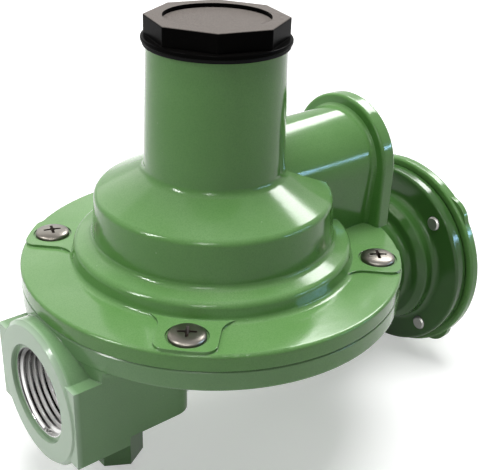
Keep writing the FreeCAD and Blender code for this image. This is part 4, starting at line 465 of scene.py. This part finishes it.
def paint_material(look, surface):
    """Green enamel of the castings: mottled, paler at the edges as a painted highlight, paler on top as a
    painted sheen, with pale specks, and painted shade in the crevices.
    """
    material, tree, shader = fresh("green_enamel")
    link = tree.links.new
    skin = add(tree, "ShaderNodeGroup", (-6, 0), node_tree=surface)
    skin.inputs["Edge radius"].default_value = look.edge
    skin.inputs["Wave depth"].default_value = look.peel
    skin.inputs["Wave size"].default_value = 420.0
    skin.inputs["Grain size"].default_value = 2600.0
    skin.inputs["Grain depth"].default_value = 0.0022 * MM
    masks = skin.outputs
    tone = mix_colour(tree, ranged(tree, masks["Mottle"], 0.0, 1.0, start=0.25, end=0.8),
                      tuple(look.colour), tuple(look.shade))
    # paler at the edges: a painted highlight
    tone = mix_colour(tree, product(tree, masks["Edge"], 0.30, (-4, 2)), tone, EDGE_HIGHLIGHT)
    # paler where the face looks up: a painted sheen, patchy with the mottle
    patchy = ranged(tree, masks["Mottle"], 0.04, 0.16, start=0.25, end=0.8)
    tone = mix_colour(tree, product(tree, masks["Upward"], patchy, (-4, 4)), tone, TOP_SHEEN)
    # a few small pale specks
    tone = mix_colour(tree, product(tree, masks["Specks"], 0.35, (-4, 3)), tone, PALE_SPECK)
    tone = mix_colour(tree, ranged(tree, masks["Grain"], 0.0, 0.38, start=0.42, end=0.66), tone, DARK_GRAIN)
    # painted shade: darker where occlusion is high, in crevices and seams
    tone = mix_colour(tree, ranged(tree, masks["Crevice"], 0.0, 0.9), tone, CREVICE_SHADE)
    link(tone, shader.inputs["Base Color"])
    link(ranged(tree, masks["Mottle"], look.gloss - 0.03, look.gloss + 0.05), shader.inputs["Roughness"])
    link(masks["Normal"], shader.inputs["Normal"])
    shader.inputs["Specular IOR Level"].default_value = 0.27
    return material


BARE_RADIUS = (13.15 * MM, 13.35 * MM)  # about the outlet's axis: bare metal inside, enamel outside
BARE_DEPTH = 45 * MM
SHADOW_Z = (-5 * MM, 6 * MM)  # heights between which the bore and its thread fall into shade
# painted reflection haze, strongest at the outlet end
REFLECTION_HAZE = (0.30, 0.37, 0.33, 1)
# painted shade on the first stage, which lies in the body's shadow
DEEP_SHADE = (0.035, 0.105, 0.022, 1)
# painted reflection on the outlet's face
FACE_REFLECTION = (0.42, 0.55, 0.41, 1)
BORE_METAL = (0.60, 0.60, 0.59, 1)
BORE_SHADE = (0.035, 0.035, 0.034, 1)


def bored_paint_material(look, surface):
    """The same enamel, with a painted reflection haze towards the outlet, a painted reflection on the
    outlet's face and painted shade at the first stage, and the outlet's bore bare metal with painted shade in
    its upper half.
    """
    material = paint_material(look, surface)
    material.name = "green_enamel_bored"
    tree = material.node_tree
    link = tree.links.new
    shader = next(n for n in tree.nodes if n.type == "BSDF_PRINCIPLED")
    axes = object_axes(tree, (-8, 4))
    flat = add(tree, "ShaderNodeCombineXYZ", (-6, 4))
    link(axes["Y"], flat.inputs["Y"])
    link(axes["Z"], flat.inputs["Z"])
    reach = add(tree, "ShaderNodeVectorMath", (-5, 4), operation="LENGTH")
    link(flat.outputs["Vector"], reach.inputs[0])
    inside = ranged(tree, reach.outputs["Value"], 1.0, 0.0, (-4, 4), *BARE_RADIUS)
    front = add(tree, "ShaderNodeMath", (-4, 5), operation="LESS_THAN")
    front.inputs[1].default_value = BARE_DEPTH
    link(axes["X"], front.inputs[0])
    bare = product(tree, inside, front.outputs["Value"], (-3, 4))
    paint = shader.inputs["Base Color"].links[0].from_socket
    for amounts, span, colour in (
        # painted reflection haze, fading away from the outlet
        ((0.24, 0.0), (0.0, 75 * MM), REFLECTION_HAZE),
        # painted shade over the first stage
        ((0.0, 0.88), (98 * MM, 107 * MM), DEEP_SHADE),
        # painted reflection on the outlet's face
        ((0.90, 0.0), (FACE_X + 0.2 * MM, FACE_X + 2.2 * MM), FACE_REFLECTION),
    ):
        paint = mix_colour(tree, ranged(tree, axes["X"], *amounts, (0, 0), *span), paint, colour)
    # painted shade over the upper half of the bare bore
    metal = mix_colour(tree, ranged(tree, axes["Z"], 0.0, 1.0, (0, 0), *SHADOW_Z), BORE_METAL, BORE_SHADE)
    link(mix_colour(tree, bare, paint, metal), shader.inputs["Base Color"])
    link(bare, shader.inputs["Metallic"])
    return material


def turned_material(name, colour, rough, surface, stain, axis="Z", centre=(0, 0, 0)):
    """Bright metal with fine tool lines round an axis, and a faint stain."""
    material, tree, shader = fresh(name)
    link = tree.links.new
    skin = add(tree, "ShaderNodeGroup", (-6, 0), node_tree=surface)
    skin.inputs["Edge radius"].default_value = 0.12 * MM
    skin.inputs["Wave depth"].default_value = 0.0
    skin.inputs["Grain depth"].default_value = 0.001 * MM
    where = add(tree, "ShaderNodeTexCoord", (-9, 3))
    shift = add(tree, "ShaderNodeVectorMath", (-8, 3), operation="SUBTRACT")
    shift.inputs[1].default_value = centre
    link(where.outputs["Object"], shift.inputs[0])
    flat = add(tree, "ShaderNodeVectorMath", (-7, 3), operation="MULTIPLY")
    flat.inputs[1].default_value = (1, 1, 0.35) if axis == "Z" else (0.35, 1, 1)
    link(shift.outputs["Vector"], flat.inputs[0])
    reach = add(tree, "ShaderNodeVectorMath", (-6, 3), operation="LENGTH")
    link(flat.outputs["Vector"], reach.inputs[0])
    rings = add(tree, "ShaderNodeTexNoise", (-5, 3), noise_dimensions="1D", Scale=9000.0, Detail=2.0)
    link(reach.outputs["Value"], rings.inputs["W"])
    bump = add(tree, "ShaderNodeBump", (-3, 2), Strength=0.25, Distance=0.02 * MM)
    link(rings.outputs["Fac"], bump.inputs["Height"])
    link(skin.outputs["Normal"], bump.inputs["Normal"])
    link(bump.outputs["Normal"], shader.inputs["Normal"])
    stained = ranged(tree, skin.outputs["Mottle"], 0.0, 0.8, start=0.35, end=0.7)
    link(mix_colour(tree, stained, colour, stain), shader.inputs["Base Color"])
    link(ranged(tree, skin.outputs["Mottle"], rough - 0.07, rough + 0.12), shader.inputs["Roughness"])
    shader.inputs["Metallic"].default_value = 1.0
    return material


def darken_above(material, low, high, colour):
    """Mixes a darker tone, a painted shade, into a material from one height to another."""
    tree = material.node_tree
    socket = next(n for n in tree.nodes if n.type == "BSDF_PRINCIPLED").inputs["Base Color"]
    amount = ranged(tree, object_axes(tree, (-8, -4))["Z"], 0.0, 0.95, start=low, end=high)
    tree.links.new(mix_colour(tree, amount, socket.links[0].from_socket, colour), socket)


MATERIALS = {}


def dress(node, material):
    """Gives a CAD node one material."""
    obj = frame["nodes"][node]
    if not obj.material_slots:
        obj.data.materials.append(material)
    for place in obj.material_slots:
        place.material = material


# Operators

class REGULATOR_OT_finishes(bpy.types.Operator):
    """Makes the finishes and gives the CAD pieces theirs"""
    bl_idname = "regulator.finishes"
    bl_label = "Finishes"

    def execute(self, context):
        look = context.scene.regulator_paint
        surface = surface_group()
        MATERIALS["paint"] = paint_material(look, surface)
        MATERIALS["bored"] = bored_paint_material(look, surface)
        for key, name, colour, thin, rough, edge, wave, more in (
            # the cap's top gets a painted sheen
            ("cap", "black_moulding", (0.002, 0.002, 0.002, 1), (0.004, 0.0035, 0.003, 1), 0.30, 0.25, 0.012,
             {"edge_gain": 0.4, "specular": 0.008, "top_sheen": (1.0, CAP_TOP_SHEEN, TOP_Z - 2.5 * MM)}),
            ("gasket", "black_rubber", (0.004, 0.004, 0.004, 1), (0.008, 0.008, 0.008, 1), 0.60, 0.30, 0.006,
             {"specular": 0.05}),
            ("recess", "screw_recess", (0.028, 0.018, 0.012, 1), (0.012, 0.008, 0.006, 1), 0.50, 0.05, 0.004,
             {"edge_gain": 0.2, "specular": 0.15}),
            ("wire", "spring_wire", (0.45, 0.45, 0.44, 1), (0.30, 0.29, 0.28, 1), 0.30, 0.05, 0.0,
             {"metal": 1.0}),
            ("rubber", "seal_rubber", (0.02, 0.02, 0.021, 1), (0.05, 0.05, 0.05, 1), 0.62, 0.15, 0.004, {}),
            ("sinter", "sintered_bronze", (0.42, 0.30, 0.14, 1), (0.24, 0.17, 0.09, 1), 0.55, 0.10, 0.03,
             {"metal": 1.0, "grain": 0.05 * MM}),
        ):
            MATERIALS[key] = coated(name, surface, colour, thin, rough, edge * MM, wave * MM, **more)
        about_tower = {"centre": tuple(TOWER)}
        along = {"axis": "X"}
        for key, name, colour, stain, rough, more in (
            ("screw", "screw_metal", (0.205, 0.195, 0.172, 1), (0.14, 0.115, 0.095, 1), 0.32, {}),
            ("thread", "cut_thread", (0.90, 0.90, 0.89, 1), (0.66, 0.65, 0.63, 1), 0.32, along),
            ("tip", "screw_tip", (0.36, 0.36, 0.34, 1), (0.20, 0.20, 0.19, 1), 0.40, along),
            ("steel", "plated_steel", (0.62, 0.60, 0.56, 1), (0.3844, 0.372, 0.3472, 1), 0.32, about_tower),
            ("alloy", "bare_alloy", (0.72, 0.72, 0.73, 1), (0.4464, 0.4464, 0.4526, 1), 0.35, about_tower),
            ("brass", "turned_brass", (0.72, 0.52, 0.24, 1), (0.4464, 0.3224, 0.1488, 1), 0.26, along),
        ):
            MATERIALS[key] = turned_material(name, colour, rough, surface, stain, **more)
        # painted shade over the upper half of the thread
        darken_above(MATERIALS["thread"], *SHADOW_Z, (0.07, 0.07, 0.068, 1))
        for material, nodes in (
            ("paint", ("bonnet", "first_stage_cover")),
            ("bored", ("lower_body",)),
            ("cap", ("closing_cap",)),
            ("gasket", ("cap_gasket",)),
            ("screw", ("tap_plug",)),
            ("steel", ("spring_washer", "diaphragm_plate", "lever", "lever_pin", "vent_ring", "vent_screen")),
            ("alloy", ("adjusting_screw", "pusher_stem", "first_plate")),
            ("brass", ("relief_nut", "valve_rod", "second_orifice", "first_orifice", "poppet")),
            ("rubber", ("main_diaphragm", "first_diaphragm", "seat_disc", "second_orifice_seal",
                        "poppet_seat")),
            ("sinter", ("inlet_filter",)),
        ):
            for node in nodes:
                dress(node, MATERIALS[material])
        return {"FINISHED"}


def recess_cutters(reach, width, depth, top):
    """The two tapered arms and the pointed core of a cross recess, their mouths at top."""
    cutters = []
    for i in range(2):
        bm = bmesh.new()
        arm = bmesh.ops.create_cube(bm, size=1.0)["verts"]
        for v in arm:
            low = v.co.z < 0
            v.co.x *= 2 * reach * (0.45 if low else 1.12)
            v.co.y *= width * (0.7 if low else 1.1)
            v.co.z = top - depth if low else top + 0.4 * MM
        bmesh.ops.rotate(bm, verts=arm, cent=(0, 0, 0), matrix=Matrix.Rotation(i * math.pi / 2, 3, "Z"))
        cutters.append(piece("recess_arm_%d" % i, bm, []))
    bm = bmesh.new()
    core = bmesh.ops.create_cone(bm, cap_ends=True, segments=20, radius1=0.3 * MM, radius2=width * 1.15,
                                 depth=depth * 1.3)["verts"]
    bmesh.ops.translate(bm, verts=core, vec=(0, 0, top - depth * 0.52))
    cutters.append(piece("recess_core", bm, []))
    return cutters


# Pan head: radius and height, as shares of the head's own
PAN_PROFILE = ((0.0, 0.80), (0.30, 0.795), (0.55, 0.765), (0.72, 0.715), (0.84, 0.645), (0.93, 0.555),
               (0.98, 0.45), (1.0, 0.35), (1.0, 0.04), (0.985, 0.0))
PAN_TOP = PAN_PROFILE[0][1]
SHANK_CHAMFER = 0.5 * MM
BONNET_HEAD, BONNET_SHANK = 5.05 * MM, 2.35 * MM
COVER_HEAD, COVER_SHANK, COVER_HEAD_HEIGHT = 4.4 * MM, 2.45 * MM, 3.0 * MM
COVER_RECESS = 0.88
SCREW_TURNS = (0.60, -0.34, -0.70, -0.62)


def dome_height(share):
    """Height of a pan head at a share of its radius."""
    for (r0, z0), (r1, z1) in zip(PAN_PROFILE, PAN_PROFILE[1:]):
        if r0 <= share < r1:
            return z0 + (z1 - z0) * (share - r0) / (r1 - r0)
    return 0.0


def pan_screw(name, head, height, shank, length, cross, metal):
    """A pan-head screw about Z, its head resting on z = 0. cross is the recess's reach, width and depth."""
    profile = [(head * r, height * z) for r, z in PAN_PROFILE]
    profile += [(shank, 0.0), (shank, SHANK_CHAMFER - length), (shank - SHANK_CHAMFER, -length), (0, -length)]
    made = piece(name, lathe(profile, 72), [metal, MATERIALS["recess"]])
    carved(made, recess_cutters(*cross, height * PAN_TOP))
    for face in made.data.polygons:
        x, y, z = face.center
        share = math.hypot(x, y) / head
        if z > 0 and share < 0.9 and z < (dome_height(share) - 0.02) * height:
            face.material_index = 1
    return made


def screw_set(name, places, lay, *screw):
    """Four pan-head screws as one piece, laid over by a matrix and each turned its own way."""
    heads = []
    for place, turn in zip(places, SCREW_TURNS):
        head = pan_screw("pan_screw_%d" % len(heads), *screw)
        head.data.transform(Matrix.Translation(place) @ lay @ Matrix.Rotation(turn, 4, "Z"))
        heads.append(head)
    return join(name, heads)


class REGULATOR_OT_screws(bpy.types.Operator):
    """Pan-head screws with a cross recess on the bonnet's pads and on the first stage's cover"""
    bl_idname = "regulator.screws"
    bl_label = "Screws"

    def execute(self, context):
        sizes = context.scene.regulator_screws
        cross = (sizes.recess, sizes.recess_width, sizes.recess_depth)
        low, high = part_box("bonnet_screws")
        ring = ((high[0] - low[0]) / 2 - BONNET_HEAD) * math.sqrt(2)
        seat = high[2] - sizes.head_height
        angles = [math.pi / 4 + i * math.pi / 2 for i in range(4)]
        places = [Vector((TOWER.x + ring * math.cos(a), ring * math.sin(a), seat)) for a in angles]
        made = screw_set("bonnet_pan_screws", places, Matrix.Identity(4), BONNET_HEAD, sizes.head_height,
                         BONNET_SHANK, seat - low[2], cross, MATERIALS["screw"])
        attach(made, "housing")
        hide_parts("bonnet_screws")
        low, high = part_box("first_stage_screws")
        offset = (high[1] - low[1]) / 2 - COVER_HEAD
        seat = high[0] - COVER_HEAD_HEIGHT
        places = [Vector((seat, y * offset, z * offset)) for y, z in ((1, 1), (-1, 1), (-1, -1), (1, -1))]
        made = screw_set("cover_pan_screws", places, Matrix.Rotation(math.pi / 2, 4, "Y"), COVER_HEAD,
                         COVER_HEAD_HEIGHT / PAN_TOP, COVER_SHANK, seat - low[0],
                         tuple(COVER_RECESS * c for c in cross), MATERIALS["tip"])
        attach(made, "housing")
        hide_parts("first_stage_screws")
        return {"FINISHED"}


ARCH_STEPS = 28
NECK_FLARE = ((1.5, 1.0), (0.75, 1.012), (0.3, 1.035), (-0.1, 1.075))  # mm before the plate, and growth there
# The bonnet's own space, in mm about the tower's axis
TOWER_SPACE = ((0, 0), (18.6, 0), (18.6, 90), (0, 90))
DOME_SPACE = ((0, 18), (40.0, 18), (40.0, 30.7), (34.8, 32.2), (33.8, 45.7), (19.6, 52.7), (0, 52.7))


def arch(way, radius, foot_width, centre, foot):
    """Points (y, z) of a round arch from one foot to the other; way 1 starts on +Y, -1 on -Y."""
    angles = [math.pi * i / ARCH_STEPS for i in range(ARCH_STEPS + 1)]
    top = [(way * radius * math.cos(a), centre + radius * math.sin(a)) for a in angles]
    return [(way * foot_width, foot)] + top + [(-way * foot_width, foot)]


class REGULATOR_OT_neck(bpy.types.Operator):
    """Thicker skin over the vent's neck, flared where it meets the plate"""
    bl_idname = "regulator.neck"
    bl_label = "Vent neck"

    def execute(self, context):
        sizes = context.scene.regulator_neck
        centre = sizes.axis
        foot = centre - sizes.depth
        outline = arch(-1, sizes.radius, sizes.foot_width, centre, foot)
        outline += arch(1, sizes.inner, sizes.inner, centre, foot)
        bm = bmesh.new()
        face = bm.faces.new([bm.verts.new((TOWER.x, y, z)) for y, z in outline])
        place, grown = 0.0, 1.0
        for setback, grow in NECK_FLARE:
            step = sizes.plate - setback * MM - place
            place += step
            made = bmesh.ops.extrude_face_region(bm, geom=[face])["geom"]
            if any(len(edge.link_faces) > 2 for edge in face.edges):
                bm.faces.remove(face)
            face = next(g for g in made if isinstance(g, bmesh.types.BMFace))
            bmesh.ops.translate(bm, verts=face.verts, vec=(step, 0, 0))
            bmesh.ops.scale(bm, verts=face.verts, vec=(1, grow / grown, grow / grown),
                            space=Matrix.Translation((0, 0, -centre)))
            grown = grow
        bmesh.ops.recalc_face_normals(bm, faces=bm.faces)
        skin = piece("vent_neck_skin", bm, [MATERIALS["paint"]], sharp=SHARP)
        cutters = []
        for name, profile in (("tower_space", TOWER_SPACE), ("dome_space", DOME_SPACE)):
            bm = lathe([(r * MM, z * MM) for r, z in profile], 96)
            cutters.append(piece(name, moved(bm, Matrix.Translation((TOWER.x, 0, 0))), []))
        carved(skin, cutters)
        bm = bmesh.new()
        bm.from_mesh(skin.data)
        bmesh.ops.remove_doubles(bm, verts=bm.verts, dist=0.02 * MM)
        bmesh.ops.dissolve_degenerate(bm, edges=bm.edges, dist=0.02 * MM)
        bm.to_mesh(skin.data)
        bm.free()
        skin.data.set_sharp_from_angle(angle=math.radians(SHARP))
        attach(skin, "housing")
        return {"FINISHED"}


END_SHARE = 0.05  # the same for the other springs, as a share of their length


class REGULATOR_OT_springs(bpy.types.Operator):
    """The springs remade as loose pieces: the main spring split in three at two heights, the others copied
    whole
    """
    bl_idname = "regulator.springs"
    bl_label = "Springs"

    def execute(self, context):
        sizes = context.scene.regulator_springs
        low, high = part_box("main_spring")
        lengths = (("main_spring_top", sizes.upper_cut, high[2], "housing", "washer"),
                   ("main_spring_middle", sizes.lower_cut, sizes.upper_cut, "stem", "housing"),
                   ("main_spring_foot", low[2], sizes.lower_cut, "plate", "stem"))
        for name, start, end, lower, upper in lengths:
            bm = copied("main_spring")
            if start > low[2]:
                kept_beyond(bm, (0, 0, start), (0, 0, 1))
            if end < high[2]:
                kept_beyond(bm, (0, 0, end), (0, 0, -1))
            part = piece(name, bm, [MATERIALS["wire"]], sharp=50)
            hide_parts("main_spring")
            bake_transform(part)
        for node, axis, still, moving, still_end in (
            ("relief_spring", 2, "stem", "plate", "high"),
            ("first_stage_spring", 0, "housing", "small_plate", "high"),
            ("poppet_spring", 0, "housing", "small_valve", "low"),
        ):
            low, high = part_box(node)
            seat = END_SHARE * (high[axis] - low[axis])
            ends = [list(middle(node)), list(middle(node))]
            ends[0][axis] = low[axis] + seat
            ends[1][axis] = high[axis] - seat
            if still_end == "high":
                ends.reverse()
            part = piece(node + "_wire", copied(node), [MATERIALS["wire"]], sharp=50)
            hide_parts(node)
            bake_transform(part)
        return {"FINISHED"}


OUTLET_LEAD = 0.9 * MM  # from a bore's mouth to the middle of the first ridge
INLET_LEAD = 0.7 * MM
THREAD_END = 0.6 * MM  # plain length at the bottom of a bore
INLET_CREST = 0.7  # height of the inlet's ridge, as a share of the outlet's


class REGULATOR_OT_threads(bpy.types.Operator):
    """Cut pipe threads in the outlet and in the inlet"""
    bl_idname = "regulator.threads"
    bl_label = "Pipe threads"

    def execute(self, context):
        sizes = context.scene.regulator_threads
        mounts = {mount["name"]: mount for mount in frame["record"]["mounts"]}
        outlet, inlet = mounts["outlet"], mounts["inlet"]
        bm = helix_ridge(outlet["dims"]["r_mm"] * MM, sizes.depth, sizes.outlet_pitch, OUTLET_LEAD,
                         outlet["dims"]["length_mm"] * MM - THREAD_END, sizes.steps)
        moved(bm, Matrix.Rotation(math.pi / 2, 4, "Y"))
        made = piece("outlet_thread", bm, [MATERIALS["thread"]], sharp=30)
        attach(made, "housing")
        bm = helix_ridge(inlet["dims"]["r_mm"] * MM, sizes.depth * INLET_CREST, sizes.inlet_pitch, INLET_LEAD,
                         inlet["dims"]["length_mm"] * MM - THREAD_END, sizes.steps)
        moved(bm, Matrix.Translation(Vector(inlet["pos_m"])) @ Matrix.Rotation(math.pi / 2, 4, "X"))
        made = piece("inlet_thread", bm, [MATERIALS["thread"]], sharp=30)
        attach(made, "housing")
        return {"FINISHED"}


LIGHT_TARGET = Vector((0.06, 0, 0.04))
LIGHT_DISTANCE = 0.9
# Name, turn about the part and height in degrees, width and height of the panel in metres
LAMPS = (
    ("top", 30, 87, (0.60, 0.60)),
    ("left", 157, 38, (0.19, 0.45)),
    ("front", -136, 36, (0.19, 0.40)),
    ("back", 22, 38, (0.70, 0.48)),
)
# The same, with power and colour
GLEAMS = (
    ("left", 168, 38, (0.12, 0.36), 5.5, (1, 1, 1)),
    ("front", -136, 36, (0.13, 0.36), 9.0, (1, 1, 1)),
    ("back", 22, 42, (0.56, 0.20), 6.8, (1, 1, 1)),
    ("wall", 82, 27, (0.70, 0.50), 1.1, (1, 0.98, 0.95)),
    ("strip", -46, 12, (0.50, 0.042), 2.3, (0.38, 0.66, 1.0)),
)
# The camera's right, up and backward directions, and its place
CAMERA_TURN = ((0.77539441, -0.63064909, 0.03233016), (0.26473521, 0.37112481, 0.89004586),
               (-0.57330514, -0.68157765, 0.45472313))
CAMERA_PLACE = Vector((-84.575, -184.771, 151.397)) * MM


def soft_light(name, turn, height, size, power, colour=(1, 1, 1), gloss_only=False):
    """A soft panel of light that only gloss reflects, or that gloss doesn't see."""
    data = bpy.data.lights.new(name, "AREA")
    data.shape = "RECTANGLE"
    data.size, data.size_y = size
    data.energy = power
    data.color = colour
    obj = bpy.data.objects.new(name, data)
    bpy.context.scene.collection.objects.link(obj)
    obj.visible_camera = False
    obj.visible_diffuse = not gloss_only
    obj.visible_glossy = gloss_only
    turn, height = math.radians(turn), math.radians(height)
    way = Vector((math.cos(turn) * math.cos(height), math.sin(turn) * math.cos(height), math.sin(height)))
    obj.location = LIGHT_TARGET + way * LIGHT_DISTANCE
    obj.rotation_euler = (LIGHT_TARGET - obj.location).to_track_quat("-Z", "Y").to_euler()


def seen_ray(tree):
    """1 for the rays by which the camera, gloss or glass see the background."""
    path = add(tree, "ShaderNodeLightPath", (-3, 1))
    seen = path.outputs["Is Camera Ray"]
    for kind in ("Is Glossy Ray", "Is Transmission Ray"):
        node = add(tree, "ShaderNodeMath", (-1, 1), operation="MAXIMUM")
        tree.links.new(seen, node.inputs[0])
        tree.links.new(path.outputs[kind], node.inputs[1])
        seen = node.outputs[0]
    return seen


def floor_material():
    """Pale floor that the camera sees as white, whiter still far off, with the shadow left on it."""
    material, tree, shader = fresh("pale_floor")
    shader.inputs["Roughness"].default_value = 0.9
    shader.inputs["Specular IOR Level"].default_value = 0.1
    seen = seen_ray(tree)
    tone = mix_colour(tree, seen, (0.66, 0.66, 0.66, 1), (0.80, 0.80, 0.80, 1), (-1, 0))
    tree.links.new(tone, shader.inputs["Base Color"])
    where = add(tree, "ShaderNodeTexCoord", (-6, 4))
    reach = add(tree, "ShaderNodeVectorMath", (-5, 4), operation="LENGTH")
    tree.links.new(where.outputs["Object"], reach.inputs[0])
    glow = product(tree, ranged(tree, reach.outputs["Value"], 0.45, 1.0, start=0.35, end=1.1), seen, (-1, 2))
    tree.links.new(glow, shader.inputs["Emission Strength"])
    shader.inputs["Emission Color"].default_value = (1, 1, 1, 1)
    return material


class REGULATOR_OT_stage(bpy.types.Operator):
    """Pale floor, soft light and the camera at the photograph's angle"""
    bl_idname = "regulator.stage"
    bl_label = "Stage"

    def execute(self, context):
        look = context.scene.regulator_stage
        scene = context.scene
        scene.view_settings.view_transform = "Standard"
        bm = bmesh.new()
        bmesh.ops.create_grid(bm, x_segments=1, y_segments=1, size=6.0)
        bmesh.ops.translate(bm, verts=bm.verts, vec=(0, 0, FLOOR_Z - 0.3 * MM))
        floor = piece("floor", bm, [floor_material()], smooth=False)
        world = bpy.data.worlds.new("surroundings")
        scene.world = world
        world.use_nodes = True
        tree = world.node_tree
        tree.nodes.clear()
        out = add(tree, "ShaderNodeOutputWorld", (3, 0))
        back = add(tree, "ShaderNodeBackground", (1, 0))
        back.inputs["Color"].default_value = (1, 1, 1, 1)
        tree.links.new(ranged(tree, seen_ray(tree), look.sky, 1.0), back.inputs["Strength"])
        tree.links.new(back.outputs[0], out.inputs["Surface"])
        for name, turn, height, size in LAMPS:
            soft_light("light_" + name, turn, height, size, getattr(look, name))
        for name, turn, height, size, power, colour in GLEAMS:
            soft_light("gleam_" + name, turn, height, size, power * look.gleam, colour, gloss_only=True)
        data = bpy.data.cameras.new("camera")
        data.lens = look.lens
        data.sensor_width = 36.0
        camera = bpy.data.objects.new("camera", data)
        scene.collection.objects.link(camera)
        camera.matrix_world = Matrix.Translation(CAMERA_PLACE) @ Matrix(CAMERA_TURN).transposed().to_4x4()
        scene.camera = camera
        return {"FINISHED"}


class REGULATOR_PT_panel(bpy.types.Panel):
    """The steps in their order"""
    bl_label = "Gas regulator"
    bl_idname = "REGULATOR_PT_panel"
    bl_space_type = "VIEW_3D"
    bl_region_type = "UI"
    bl_category = "Regulator"

    def draw(self, context):
        for step in STEPS:
            self.layout.operator(step.bl_idname)


STEPS = (REGULATOR_OT_stage, REGULATOR_OT_finishes, REGULATOR_OT_neck, REGULATOR_OT_screws,
         REGULATOR_OT_springs, REGULATOR_OT_threads)
GROUPS = (("regulator_paint", PaintLook), ("regulator_threads", ThreadSizes),
          ("regulator_screws", ScrewSizes), ("regulator_neck", NeckSizes),
          ("regulator_springs", SpringSizes), ("regulator_stage", StageLook))
CLASSES = tuple(cls for name, cls in GROUPS) + STEPS + (REGULATOR_PT_panel,)


def register():
    """Makes the classes and the scene's settings known."""
    for cls in CLASSES:
        bpy.utils.register_class(cls)
    for name, cls in GROUPS:
        setattr(bpy.types.Scene, name, PointerProperty(type=cls))


def unregister():
    """Takes them away again."""
    for name, cls in GROUPS:
        delattr(bpy.types.Scene, name)
    for cls in reversed(CLASSES):
        bpy.utils.unregister_class(cls)


def main():
    """Runs the steps in their order."""
    register()
    for step in STEPS:
        area, name = step.bl_idname.split(".")
        getattr(getattr(bpy.ops, area), name)()


if __name__ == "__main__":
    main()
